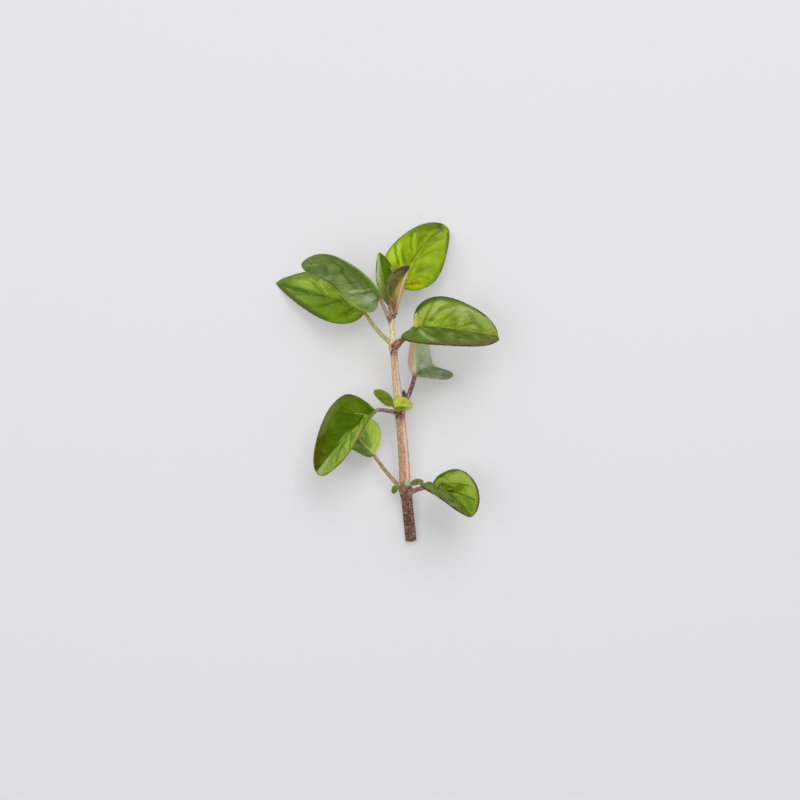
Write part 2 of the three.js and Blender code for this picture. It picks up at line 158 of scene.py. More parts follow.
# %% Colours and colour mixing
def paint(code):
    """A screen colour such as 7a9a3c as linear red, green and blue, with an alpha of 1."""
    parts = [int(code[i : i + 2], 16) / 255 for i in (0, 2, 4)]
    linear = [c / 12.92 if c < 0.04045 else ((c + 0.055) / 1.055) ** 2.4 for c in parts]
    return (*linear, 1.0)


def as_colour(value):
    """A colour code as a colour. A wire stays as it is."""
    return paint(value) if isinstance(value, str) else value


def mixed(mask, first, second):
    """The first colour where the mask is 0 and the second where it is 1."""
    sockets = {0: mask, 6: as_colour(first), 7: as_colour(second)}
    return mask.node("ShaderNodeMix", {"data_type": "RGBA"}, sockets, 2)


def new_finish(name):
    """An empty material, with a wire to build its nodes from."""
    material = bpy.data.materials.new(name)
    material.use_nodes = True
    material.node_tree.nodes.clear()
    return material, Wire(material.node_tree)


def finish_with(start, shader):
    """Passes the shader to the material's output."""
    start.node("ShaderNodeOutputMaterial", None, {"Surface": shader})


print("leaf green as linear light:", [round(c, 3) for c in paint("6f9a2e")])

# %% [markdown]
# ## The sweep tree
#
# The stem and every leaf stalk are the same kind of thing: a section carried along a path while
# its size changes. Geometry Nodes do this in one tree. Its inputs are the number of sides, how
# square the section is and how deep its furrows are. Mint-family stems are square with hollow
# sides, and the stalks are nearly round with one groove.
#
# The tree also writes three attributes for the skin to read: `along` the path, and how far a
# point lies to the `right` and to the `top` of it.


# %% Geometry Nodes helpers
def new_geometry_tree(name, inputs):
    """A Geometry Nodes tree with one geometry input, one output and the named inputs."""
    tree = bpy.data.node_groups.new(name, "GeometryNodeTree")
    tree.interface.new_socket("Geometry", in_out="INPUT", socket_type="NodeSocketGeometry")
    for socket, kind in inputs.items():
        tree.interface.new_socket(socket, in_out="INPUT", socket_type=f"NodeSocket{kind}")
    tree.interface.new_socket("Geometry", in_out="OUTPUT", socket_type="NodeSocketGeometry")
    given = Wire(tree).node("NodeGroupInput", None, None, "Geometry")
    return tree, given


def end_tree(geometry, material):
    """Paints the geometry and passes it to the tree's output."""
    sockets = {"Geometry": geometry, "Material": material}
    painted = geometry.node("GeometryNodeSetMaterial", None, sockets)
    painted.node("NodeGroupOutput", None, {"Geometry": painted})


def grown(source, tree, values, name):
    """The plain mesh that a tree makes from a source mesh. The source itself is used up."""
    holder = bpy.data.objects.new(name + "_source", source)
    bpy.context.scene.collection.objects.link(holder)
    modifier = holder.modifiers.new("tree", "NODES")
    modifier.node_group = tree
    for item in tree.interface.items_tree:
        if item.item_type == "SOCKET" and item.in_out == "INPUT" and item.name in values:
            modifier[item.identifier] = values[item.name]
    evaluated = holder.evaluated_get(bpy.context.evaluated_depsgraph_get())
    mesh = bpy.data.meshes.new_from_object(evaluated)
    mesh.name = name
    holder.modifiers.remove(modifier)
    bpy.data.objects.remove(holder)
    return mesh


def stored(geometry, name, value):
    """The geometry with a number stored at each point, for a skin to read."""
    settings = {"data_type": "FLOAT", "domain": "POINT"}
    sockets = {"Geometry": geometry, "Name": name, "Value": value}
    return geometry.node("GeometryNodeStoreNamedAttribute", settings, sockets)


# %% The sweep tree itself
def make_sweep_tree():
    inputs = {"Sides": "Int", "Squareness": "Float", "Furrow": "Float", "Turn": "Float"}
    tree, given = new_geometry_tree("sweep", {**inputs, "Skin": "Material"})
    path = given.node("GeometryNodeMeshToCurve", None, {"Mesh": given})
    path = given.node("GeometryNodeSetCurveNormal", {"mode": "Z_UP"}, {"Curve": path})
    share = given.node("GeometryNodeSplineParameter")
    path = stored(path, "along", share)

    ring = given.node("GeometryNodeCurvePrimitiveCircle", None, {"Resolution": given.out("Sides")})
    turn = given.node("GeometryNodeSplineParameter") * (2 * math.pi)
    cos, sin = turn.sum("COSINE", turn), turn.sum("SINE", turn)
    square = given.out("Squareness")
    reach = (abs(cos) ** square + abs(sin) ** square) ** (-1.0 / square)
    across_flat = cos * cos - sin * sin
    reach = reach * (1 - given.out("Furrow") * (across_flat * across_flat) ** 3.0)
    angle = turn + given.out("Turn")
    right, top = angle.sum("COSINE", angle), angle.sum("SINE", angle)
    place = {"X": reach * right, "Y": reach * top, "Z": 0.0}
    place = given.node("ShaderNodeCombineXYZ", None, place)
    ring = given.node("GeometryNodeSetPosition", None, {"Geometry": ring, "Position": place})
    ring = stored(stored(ring, "right", right), "top", top)

    thick = given.node("GeometryNodeInputNamedAttribute", None, {"Name": "thick"})
    sockets = {"Curve": path, "Profile Curve": ring, "Scale": thick, "Fill Caps": True}
    swept = given.node("GeometryNodeCurveToMesh", None, sockets)
    smooth = swept.node("GeometryNodeSetShadeSmooth", None, {"Geometry": swept})
    end_tree(smooth, given.out("Skin"))
    return tree


sweep_tree = make_sweep_tree()
print("sweep tree nodes:", len(sweep_tree.nodes))


# %% A path to sweep along
def write_points(mesh, name, values):
    """Stores one number for each vertex."""
    store = mesh.attributes.new(name, "FLOAT", "POINT")
    store.data.foreach_set("value", np.asarray(values, np.float32))


def path_mesh(points, thick):
    """A line of points with a thickness at each, ready to be swept."""
    mesh = bpy.data.meshes.new("path")
    mesh.from_pydata([tuple(p) for p in points], [(i, i + 1) for i in range(len(points) - 1)], [])
    write_points(mesh, "thick", thick)
    return mesh


# %% Nothing below the surface
def kept_above(mesh, low=0.01):
    """Moves up whatever of a mesh would reach below the surface that the sprig lies on."""
    places = np.zeros(3 * len(mesh.vertices), np.float32)
    mesh.vertices.foreach_get("co", places)
    places[2::3] = np.maximum(places[2::3], low * MM)
    mesh.vertices.foreach_set("co", places)


# %% [markdown]
# ## Joining the frame
#
# Every finished piece lies at the origin with its place in its mesh. It rides on the one body of
# the frame, and the imported solid that it stands for, if any, is hidden.


# %% Show a finished piece
SHOWN = {}  # the triangles of each piece


def show(name, mesh, stands_for=None):
    """Puts a mesh into the scene as a piece of the body root."""
    piece = bpy.data.objects.new(name, mesh)
    bpy.context.scene.collection.objects.link(piece)
    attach(piece, "root")
    if stands_for:
        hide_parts(stands_for)
    mesh.calc_loop_triangles()
    SHOWN[name] = len(mesh.loop_triangles)


def inside_of(mesh):
    """What a mesh encloses, in cubic millimetres. It is above 0 if its faces point outwards."""
    mesh.calc_loop_triangles()
    corners = np.array([v.co[:] for v in mesh.vertices])
    triangles = corners[np.array([t.vertices[:] for t in mesh.loop_triangles])]
    crossed = np.cross(triangles[:, 1], triangles[:, 2])
    return float((triangles[:, 0] * crossed).sum() / 6 / MM**3)


# %% [markdown]
# ## The stem
#
# The stem bends gently through ten stations, thins towards the tip and swells at each pair of
# leaves. A centripetal Catmull-Rom curve passes through the stations without overshooting, which
# a plain one does where stations lie close together.

# %% The stem's stations and its path
STEM_STATIONS = [  # the place, and half the width of the flat sides
    ((4.6, -31.8, 0.8), 0.96),
    ((3.8, -24.0, 2.3), 0.96),
    ((3.5, -21.6, 2.7), 0.98),
    ((3.0, -13.0, 4.5), 0.88),
    ((2.3, -5.8, 6.2), 0.8),
    ((1.7, -0.4, 7.4), 0.68),
    ((1.1, 6.6, 8.7), 0.56),
    ((0.9, 9.4, 9.2), 0.44),
    ((0.75, 11.8, 9.7), 0.4),
    ((0.85, 14.2, 10.2), 0.2),
]
SWELLINGS = [(-21.6, 0.2, 1.2), (-5.9, 0.2, 0.9), (6.5, 0.26, 0.8), (11.7, 0.2, 0.7)]
STEM_SECTION = {"Sides": 32, "Squareness": 3.4, "Furrow": 0.07, "Turn": math.pi / 4}
STEM_STEPS = 260


def through(points, share):
    """A point of the smooth curve through the points, share running from 0 to 1."""
    points = np.asarray(points, float)
    place = share * (len(points) - 1)
    i = min(int(place), len(points) - 2)
    before = points[i - 1] if i else 2 * points[0] - points[1]
    beyond = points[i + 2] if i + 2 < len(points) else 2 * points[-1] - points[-2]
    a, b, c, d = before, points[i], points[i + 1], beyond
    gaps = [math.dist(p, q) ** 0.5 for p, q in ((a, b), (b, c), (c, d))]
    leave = (b - a) / gaps[0] - (c - a) / (gaps[0] + gaps[1]) + (c - b) / gaps[1]
    reach = (c - b) / gaps[1] - (d - b) / (gaps[1] + gaps[2]) + (d - c) / gaps[2]
    leave, reach, t = leave * gaps[1], reach * gaps[1], place - i
    return b + leave * t + (3 * (c - b) - 2 * leave - reach) * t**2 + (
        2 * (b - c) + leave + reach
    ) * t**3


def stem_half(y, share):
    """Half the stem's width at a height, y, with the swellings."""
    widths = [station[1] for station in STEM_STATIONS]
    plain = np.interp(share * (len(widths) - 1), range(len(widths)), widths)
    return plain + sum(by * math.exp(-(((y - at) / over) ** 2)) for at, by, over in SWELLINGS)


shares = np.linspace(0, 1, STEM_STEPS)
stem_path = np.array([through([s[0] for s in STEM_STATIONS], t) for t in shares])
stem_thick = np.array([stem_half(p[1], t) for p, t in zip(stem_path, shares)])
stem_length = float(np.linalg.norm(np.diff(stem_path, axis=0), axis=1).sum())
print("stem length, mm:", round(stem_length, 1))

# %% [markdown]
# ## The stem's skin
#
# Seen from above, the stem shows two of its flat sides with an edge between them. The left side
# is a golden tan, the right one is flushed pink, and the edge is a red-brown line. Each place
# where leaves join is a dark maroon, which runs down the stem from there and fades. The stretch
# between the top two pairs is a young cream yellow. The lowest joint has a golden collar above
# it, and the foot of the stem below it is all maroon.
#
# Fine hairs lie curled on the whole stem. Curls are thin lines where a noise crosses its middle
# value, broken up by a second noise.
#
# The cut at the foot shows what is inside: a white pith, a ring of pale wood, green flesh and the
# skin. All of these are rings round the stem's own axis, so the distance from where the axis
# ends picks the paint.

# %% What a skin reads: places, stored numbers and noise
def object_place(start):
    """Where a point is, in metres."""
    return start.node("ShaderNodeTexCoord", None, None, "Object")


def stored_number(start, name):
    """A number that is stored at the mesh's points."""
    return start.node("ShaderNodeAttribute", {"attribute_name": name}, None, "Fac")


def noise_at(start, place, scale, detail=2.0):
    """A cloudy pattern of about 0.5. The larger the scale, the finer it is."""
    sockets = {"Vector": place, "Scale": scale, "Detail": detail}
    return start.node("ShaderNodeTexNoise", None, sockets)


# %% The curled hairs that lie on a skin
def curls(start, place, scale, thin, share):
    """Short pale curled lines: 1 on a curl and 0 beside it."""
    sockets = {"Vector": place, "Scale": scale, "Detail": 1.0, "Distortion": 1.6}
    winding = start.node("ShaderNodeTexNoise", None, sockets)
    pieces = noise_at(start, place, scale * 0.9)
    line = 1 - abs(winding - 0.5).rise(thin * 0.4, thin)
    return line * pieces.rise(0.62 - share, 0.7 - share)


# %% The rings of the cut end
PITH = "efe8d2"
CUT_RINGS = [("cfba86", 0.28, 0.4), ("8f9a4c", 0.52, 0.6), ("5c2c2c", 0.78, 0.86)]


def cut_end(start, place, colour):
    """The colour with the rings of the cut laid over the stem's end."""
    end, next_point = placed(stem_path[0]), placed(stem_path[1])
    off = start.node("ShaderNodeVectorMath", {"operation": "SUBTRACT"}, {0: place, 1: end})
    sockets = {0: off, 1: (next_point - end) / np.linalg.norm(next_point - end)}
    ahead = start.node("ShaderNodeVectorMath", {"operation": "DOT_PRODUCT"}, sockets, "Value")
    off = start.node("ShaderNodeVectorMath", {"operation": "LENGTH"}, {0: off}, "Value") / MM
    off = off + (noise_at(start, place, 9000.0) - 0.5) * 0.16
    rings = PITH
    for shade, inner, outer in CUT_RINGS:
        rings = mixed(off.rise(inner, outer), rings, shade)
    return mixed(1 - abs(ahead / MM).rise(0.01, 0.04), colour, rings)


print("rings round the pith:", len(CUT_RINGS))


# %% Places along and round the stem
STEM_EDGE = 0.18
STREAK_SCALES = (4600, 520, 4600)


def stem_places(start):
    """Everything that the paints of the stem are laid out by."""
    place = object_place(start)
    on = {"place": place}
    on["height"] = start.node("ShaderNodeSeparateXYZ", None, {0: place}, "Y") / MM - SHIFT[1]
    on["right"] = stored_number(start, "right")
    long = start.node("ShaderNodeMapping", None, {0: place, "Scale": STREAK_SCALES})
    on["streak"] = noise_at(start, long, 1.0, 3.0)
    on["cloud"] = noise_at(start, place, 900.0, 3.0)
    on["grain"] = noise_at(start, place, 5200.0)
    on["hair"] = curls(start, place, 1500.0, 0.055, 0.12)
    on["side"] = on["right"] + (on["cloud"] - 0.5) * 0.25
    on["lower"] = 1 - on["height"].rise(-14.0, -2.0)
    on["young"] = on["height"].rise(6.6, 7.6)
    return on


# %% The stem's sides
def stem_sides(on):
    """Tan on the left and pink on the right, deeper lower down and creamy near the tip."""
    streak, side = on["streak"], on["side"]
    colour = mixed(streak.rise(0.36, 0.6), "f8dca4", "d0a060")
    colour = mixed(side.rise(STEM_EDGE - 0.05, STEM_EDGE + 0.3), colour, "ffe0d4")
    low = mixed(streak.rise(0.36, 0.6), "dcac6c", "ac783c")
    low = mixed(side.rise(STEM_EDGE, STEM_EDGE + 0.25), low, "ffccb4")
    colour = mixed(on["lower"], colour, low)
    colour = mixed(on["young"], colour, mixed(streak.rise(0.42, 0.6), "f6e6b4", "d8b468"))
    edge = side.near(STEM_EDGE, 0.22) * (1 - on["young"])
    return mixed(edge * 0.7, colour, "b0643c")


# %% The stem's grain
def grained(colour, on):
    """Dark and light grains, a darker right rim and dots along both rims."""
    right, grain = on["right"], on["grain"]
    rim = right.rise(0.86, 0.98) * (1 - on["height"].rise(-2.0, 4.0))
    colour = mixed(rim * 0.7, colour, "8a5a66")
    dark = (1 - grain.rise(0.36, 0.47)) * (0.65 - on["young"] * 0.35)
    colour = mixed(dark, colour, "98583c")
    colour = mixed(grain.rise(0.54, 0.64) * (0.7 - on["lower"] * 0.3), colour, "fff0dc")
    dots = abs(right).rise(0.78, 0.92) * grain.rise(0.46, 0.52) * (1 - grain.rise(0.58, 0.64))
    return mixed(dots * 0.7, colour, "7c6070")


# %% Where leaves join the stem
LEAF_BANDS = [(-22.5, 1.6), (-6.3, 0.75), (6.1, 0.6), (12.1, 0.6)]  # height and reach
FLUSHES = [(-22.6, 2.2), (-6.6, 3.2), (5.6, 2.4)]
COLLAR = (-21.6, 1.8)
FOOT = (-23.4, -20.8)


def joined_and_flushed(colour, on):
    """Red runs below the joints, curls, the golden collar, the dark joints and the foot."""
    height, side, streak, cloud = (on[key] for key in ("height", "side", "streak", "cloud"))
    for at, reach in FLUSHES:
        run = height.rise(at - reach, at) * (1 - height.rise(at, at + 0.4))
        run = run * (streak + cloud).rise(0.6, 1.0) * side.rise(-1.3, 0.2)
        colour = mixed(run, colour, "a03c30")
    colour = mixed(on["hair"] * (0.35 + 0.5 * cloud), colour, "fff2dc")
    collar = height.near(*COLLAR) * (1 - side.rise(0.3, 0.7))
    colour = mixed(collar * 0.9, colour, mixed(streak.rise(0.4, 0.6), "985c20", "6c3c14"))
    for at, reach in LEAF_BANDS:
        band = (height - 0.9 * on["right"]).near(at, reach).rise(0.0, 0.7)
        colour = mixed(band * (0.55 + 0.7 * streak), colour, "602a34")
    foot = 1 - (height + cloud * 2.0 - 0.5 * on["right"]).rise(*FOOT)
    deep = mixed(streak.rise(0.4, 0.65), "4a1612", "783624")
    return mixed(foot, colour, mixed(on["hair"] * 0.4, deep, "c89c80"))


print("dark bands at, mm:", [at for at, _ in LEAF_BANDS])


# %% Stem skin
def make_stem_skin():
    skin, start = new_finish("stem_skin")
    on = stem_places(start)
    colour = joined_and_flushed(grained(stem_sides(on), on), on)
    colour = cut_end(start, on["place"], colour)

    bumps = on["streak"] * 0.5 + on["hair"] * 0.5
    sockets = {"Strength": 0.7, "Distance": 1e-4, "Height": bumps}
    normal = start.node("ShaderNodeBump", None, sockets)
    sockets = {"Base Color": colour, "Roughness": 0.42 + on["cloud"] * 0.3, "Normal": normal}
    finish_with(start, start.node("ShaderNodeBsdfPrincipled", None, sockets))
    return skin


stem_skin = make_stem_skin()
print("stem skin nodes:", len(stem_skin.node_tree.nodes))

# %% Sweep the stem
stem_line = path_mesh(placed(stem_path), stem_thick * MM)
stem_mesh = grown(stem_line, sweep_tree, {**STEM_SECTION, "Skin": stem_skin}, "stem")
kept_above(stem_mesh)
for face in stem_mesh.polygons:
    face.use_smooth = len(face.vertices) < 5  # the two ends are flat
show("stem", stem_mesh, "main_stem")
print("stem:", SHOWN["stem"], "triangles,", round(inside_of(stem_mesh), 1), "cubic mm")

# %% [markdown]
# ## The leaves in numbers
#
# A leaf is described in the way it is looked at. Its stalk leaves the stem, bends and reaches the
# foot of the blade. The midrib carries on from there as a curve. Each half of the blade has a
# width, an angle at which it rises from the midrib at the foot and at the tip, and a curl
# towards its margin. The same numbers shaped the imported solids, so the fine blades made here
# take their places exactly.
#
# Each pair of leaves stands a quarter turn from the pair below it. That is why, with the sprig
# lying down, one leaf of a pair slopes down to the surface and the other rises.
#
# A few leaves have numbers of their own. `puff` makes the relief lower, `settle` lets the fold
# reach its final angle early, `clasp` thickens the stalk at the stem, `taper` keeps the midrib
# thick for longer, and `pale_by` says by where along the midrib the stalk's colour has faded.


# %% Leaf numbers
def half(wide, fold, curl, lobe=0.0, **own):
    return {"wide": wide, "fold": fold, "curl": curl, "lobe": lobe, **own}


def leaf(stalk, thick, foot, rib, faces, right, left, blunt, broad, wave, **own):
    shape = {"stalk": stalk, "thick": thick, "foot": foot, "rib": rib, "faces": faces}
    sides = {"right": right, "left": left, "blunt": blunt, "broad": broad, "wave": wave}
    return {**shape, **sides, **own}


LEAVES = {
    "leaf_1_left": leaf(
        ((3.0, -21.7, 2.6), (-0.5, -18.3, 3.2)), 0.37, (-2.75, -14.7, 3.2),
        ((-4.5, -12.8, 3.3), (-8.0, -9.6, 2.4), (-10.6, -7.4, 1.0)),
        ((0.25, 0.25, 1), (0.1, 0.1, 1)),
        half(4.8, (30, 20), -18, -0.12, broad=0.8), half(4.8, (66, 44), -20), 0.62, 0.66, 0.15,
        puff=0.4,
    ),
    "leaf_1_right": leaf(
        ((3.7, -22.6, 2.9), (6.0, -21.0, 5.0)), 0.44, (8.5, -20.9, 7.2),
        ((11.6, -21.4, 10.2), (14.7, -23.3, 12.6), (16.2, -26.4, 13.2)),
        ((0.1, 0.9, 0.75), (0.5, 0.5, 0.7)),
        half(6.6, (50, 16), -20), half(5.6, (38, 30), -18), 0.6, 0.66, 0.12,
    ),
    "leaf_2_left": leaf(
        ((1.7, -6.3, 6.8), (-1.6, -5.4, 10.4)), 0.37, (-2.4, -5.95, 10.6),
        ((-5.2, -8.0, 12.2), (-10.2, -12.8, 11.6), (-14.0, -18.0, 8.6)),
        ((-0.3, 0.5, 1), (-0.3, 0.35, 0.9)),
        half(7.5, (16, 34), -34, blunt=0.66), half(5.7, (66, 12), -10, broad=1.0, blunt=0.56),
        0.78, 0.5, 0.15,
    ),
    "leaf_2_right": leaf(
        ((2.9, -5.2, 6.0), (4.7, -2.0, 6.4)), 0.45, (5.3, 0.85, 6.6),
        ((5.45, 4.2, 7.4), (5.6, 9.0, 6.4), (7.4, 13.6, 2.6)),
        ((0.12, 0.0, -1), (0.0, -0.2, -1)),
        half(4.2, (70, 70), 0, broad=0.75), half(8.5, (-10, 71), 0, 0.015),
        0.5, 0.36, 0.1, settle=0.045,
    ),
    "leaf_3_left": leaf(
        ((0.7, 7.2, 8.6), (-2.9, 10.3, 7.8)), 0.37, (-4.6, 13.6, 6.6),
        ((-9.4, 16.4, 5.6), (-16.4, 17.4, 2.4), (-22.4, 19.5, -0.2)),
        ((0.1, 0.1, 1), (-0.2, 0.05, 1)),
        half(5.9, (14, 16), -18, 0.03, blunt=0.72), half(4.7, (24, 20), -22, 0.08),
        0.92, 0.62, 0.15,
    ),
    "leaf_3_right": leaf(
        ((1.4, 6.8, 9.1), (3.2, 8.0, 10.8)), 0.42, (5.15, 10.3, 12.6),
        ((9.8, 10.8, 15.0), (16.0, 9.2, 14.6), (21.5, 8.7, 11.3)),
        ((0.0, 0.62, 1), (0.1, 0.5, 1)),
        half(5.8, (36, 34), -22, 0.23), half(6.3, (30, 24), -26, 0.03), 0.49, 0.66, 0.15,
        clasp=0.9,
    ),
    "leaf_4_left": leaf(
        ((0.4, 12.2, 10.0), (-0.8, 14.0, 11.4)), 0.32, (-1.5, 16.2, 12.6),
        ((-4.6, 19.4, 14.6), (-9.0, 24.6, 14.8), (-16.6, 22.0, 11.8)),
        ((-0.2, -0.6, 1), (-0.2, -0.4, 1)),
        half(5.1, (70, 32), -10), half(5.2, (26, 18), -26, 0.2), 0.5, 0.62, 0.18,
        clasp=0.7, puff=0.5,
    ),
    "leaf_4_right": leaf(
        ((1.0, 12.2, 9.5), (2.0, 15.2, 8.8)), 0.3, (3.2, 18.0, 7.8),
        ((3.8, 21.6, 6.6), (6.3, 27.4, 3.3), (11.6, 30.9, -0.2)),
        ((-0.25, 0.3, 1), (-0.2, 0.3, 1)),
        half(6.4, (20, 20), -22, 0.12), half(5.5, (24, 24), -20, 0.03), 0.56, 0.7, 0.15,
    ),
    "tip_leaf_left": leaf(
        ((0.6, 13.4, 10.0), (0.3, 14.2, 9.9)), 0.22, (0.1, 15.0, 9.8),
        ((-0.4, 17.8, 9.5), (-1.1, 21.4, 9.2), (-1.7, 25.0, 9.4)),
        ((0.7, 0.0, 0.8), (0.5, 0.0, 0.9)),
        half(2.5, (10, 44), 10), half(2.1, (10, 40), -10), 0.66, 0.9, 0.05,
    ),
    "tip_leaf_right": leaf(
        ((1.15, 12.7, 10.3), (1.25, 12.9, 10.9)), 0.38, (1.45, 13.2, 11.3),
        ((2.0, 16.0, 12.3), (2.6, 19.2, 13.0), (4.2, 22.2, 12.6)),
        ((-0.75, 0.2, -0.6), (-0.75, 0.2, -0.5)),
        half(3.0, (36, 40), 20), half(2.7, (30, 30), 20), 0.66, 1.25, 0.05, taper=0.7, pale_by=0.8,
    ),
}
print("leaves:", len(LEAVES))

# %% [markdown]
# ## The side shoots
#
# In the angle above each leaf of the two lower pairs sits a small shoot: one or two leaflets from
# one point. They use the same leaf with smaller numbers.

# %% Side shoot numbers
SIDE_SHOOTS = {
    "side_shoot_1_left": [
        leaf(
            ((2.8, -20.6, 3.3), (2.0, -20.7, 4.1)), 0.28, (1.75, -20.8, 4.4),
            ((1.5, -21.1, 4.6), (1.2, -21.7, 4.6), (1.0, -22.3, 4.3)),
            ((-0.2, 0.2, 1), (-0.2, -0.2, 1)),
            half(0.6, (10, 10), -20), half(0.6, (10, 10), -20), 0.5, 0.8, 0,
        ),
    ],
    "side_shoot_1_right": [
        leaf(
            ((3.6, -20.9, 3.4), (4.1, -20.6, 4.6)), 0.26, (4.6, -20.6, 4.8),
            ((5.2, -20.3, 5.1), (6.0, -20.0, 5.4), (7.0, -19.95, 5.3)),
            ((0, -0.1, 1), (0.2, 0.1, 1)),
            half(0.4, (20, 10), -20), half(0.75, (20, 10), -20), 0.5, 0.9, 0,
        ),
        leaf(
            ((3.6, -20.9, 3.4), (3.9, -20.9, 4.6)), 0.26, (3.9, -20.7, 4.8),
            ((3.85, -20.4, 4.9), (3.8, -20.0, 4.9), (3.75, -19.4, 4.75)),
            ((0, 0, 1), (0, 0, 1)),
            half(0.5, (10, 10), -20), half(0.5, (10, 10), -20), 0.7, 0.6, 0,
        ),
    ],
    "side_shoot_2_left": [
        leaf(
            ((2.2, -5.2, 6.8), (1.2, -5.1, 7.6)), 0.3, (0.9, -4.8, 7.7),
            ((-0.1, -4.2, 7.9), (-1.2, -2.6, 8.3), (-2.7, -2.2, 8.2)),
            ((0, 0, 1), (-0.2, 0, 1)),
            half(1.2, (10, 10), -20), half(0.95, (10, 10), -20), 0.5, 0.95, 0,
        ),
        leaf(
            ((2.2, -5.2, 6.8), (1.2, -5.1, 7.6)), 0.3, (1.3, -5.1, 8.0),
            ((2.2, -4.8, 8.5), (3.4, -4.8, 9.0), (4.7, -5.2, 8.8)),
            ((0.1, 0.3, 1), (0.3, 0.3, 1)),
            half(1.5, (44, 30), -10), half(1.8, (24, 20), -20), 0.5, 0.7, 0.05,
        ),
    ],
    "side_shoot_2_right": [
        leaf(
            ((2.4, -4.8, 5.6), (3.2, -4.5, 5.0)), 0.26, (3.2, -3.9, 4.75),
            ((3.25, -3.3, 4.75), (3.2, -2.6, 4.8), (3.05, -1.9, 4.9)),
            ((-0.6, 0, 1), (-0.4, 0, 1)),
            half(0.55, (20, 20), 0), half(0.55, (20, 20), 0), 0.7, 0.8, 0,
        ),
    ],
}
print("side shoots:", len(SIDE_SHOOTS))

# %% [markdown]
# ## The blade's surface
#
# The blade is a grid, but not a square one. Its rows follow the side veins, which leave the
# midrib and run forward to the margin, and its columns run from the midrib outwards. So a vein
# is simply a row, and a pillow between two veins is a rise over the rows between them.
#
# Across a row, the sheet turns as it goes: quickly in the first half millimetre, where the groove
# of the midrib is, and then slowly. Adding up small steps in the direction of that turning gives
# the section, and it keeps the sheet's width however far it folds.

# %% Blade measures
VEIN_START = 1.45
VEIN_SWEEP = 2.8
VEIN_CURVE = 1.1
FULL = {"veins": 4, "relief": 0.78, "rows": 140, "columns": 32, "teeth": 24}
SMALL = {"veins": 1, "relief": 0.12, "rows": 40, "columns": 12, "teeth": 0}
SMALL_LEAF = 4.0
RIB_LENGTH = 0.98  # of the way round by its control points
RIB_GROOVE = 0.35
VEIN_OFFSET = 0.4
BUCKLE = 0.13
TOOTH_HEIGHT = 0.05
BLADE_THICKNESS = 0.28
MARGIN_THINNING = 0.45
EDGE_ROUND = 0.3
ABOVE_SURFACE = 0.02
EDGE_ABOVE = 0.05


def detail(shape):
    """How finely a leaf is made, which depends on its size."""
    return FULL if shape["right"]["wide"] >= SMALL_LEAF else SMALL


def unit(vectors):
    return vectors / np.maximum(np.linalg.norm(vectors, axis=-1, keepdims=True), 1e-12)


def rib_frame(shape, along):
    """Along the midrib: the place, and the ways ahead, up and to the right."""
    t = np.clip(along, 0, 1)[..., None]
    a, b, c, d = (np.array(p, float) for p in (shape["foot"], *shape["rib"]))
    place = a * (1 - t) ** 3 + 3 * b * t * (1 - t) ** 2 + 3 * c * t**2 * (1 - t) + d * t**3
    ahead = unit((b - a) * (1 - t) ** 2 + 2 * (c - b) * t * (1 - t) + (d - c) * t**2)
    length = sum(math.dist(p, q) for p, q in ((a, b), (b, c), (c, d))) * RIB_LENGTH
    place = place + ahead * (along[..., None] - t) * length
    first, second = (np.array(f, float) for f in shape["faces"])
    up = first * (1 - t) + second * t
    up = unit(up - ahead * (up * ahead).sum(-1, keepdims=True))
    return place, ahead, up, np.cross(ahead, up)


def outline(shape, side, along):
    """How wide a half is, as a share of its widest, at shares of the blade's length."""
    broad, blunt = side.get("broad", shape["broad"]), side.get("blunt", shape["blunt"])
    return np.maximum(0, np.sin(np.pi * np.clip(along, 0, 1) ** broad)) ** blunt


stages = np.array([0.25, 0.5, 0.75])
shape = LEAVES["leaf_3_right"]
widths = outline(shape, shape["right"], stages) * shape["right"]["wide"]
print("leaf_3_right, right half, mm wide at each quarter:", widths.round(1))

# %% [markdown]
# The relief has four parts. Pillows rise between the side veins and are steeper on the side of
# the foot, finer veins divide each pillow across, the veins and the midrib sink in as grooves,
# and the margin ripples a little and has low rounded teeth.


# %% One half of a blade
def relief(shape, row, out, reach, width, sign):
    """How far the sheet stands off its plain form, in millimetres."""
    fine = detail(shape)
    veins = (fine["veins"] + 1) * row + VEIN_OFFSET * (sign > 0)
    which, part = np.floor(veins), veins - np.floor(veins)
    pillow = 1.6 * (1 - (1 - part) ** 5) * (1 - part) ** 0.8
    crossing = np.abs(np.sin(np.pi * (3.6 * out + 0.37 * which + 0.25 * part))) ** 0.6
    uneven = 1 + 0.3 * np.sin(7 * row + 4 * out + 2 * sign) * np.sin(11 * out - 5 * row)
    high = fine["relief"] * shape.get("puff", 1.0)
    rise = high * pillow * (0.55 + 0.45 * crossing) * np.sin(np.pi * out**0.8) ** 0.8
    far, aside = 19 * row, sign * reach
    across_it = np.sin(3.3 * aside + np.sin(1.7 * far))
    buckle = np.sin(3.9 * far + 1.3 * np.sin(2.1 * aside)) * across_it
    rise = rise + BUCKLE * buckle * np.minimum(1, high * 2 * reach) * (1 - 0.8 * out**4)
    ripple = shape["wave"] * np.sin(2 * np.pi * (2.5 * row + 0.3 * sign)) * out**3 * width
    rib = 0.07 * np.exp(-((reach / 0.3) ** 2))
    return rise * width * uneven + ripple - rib


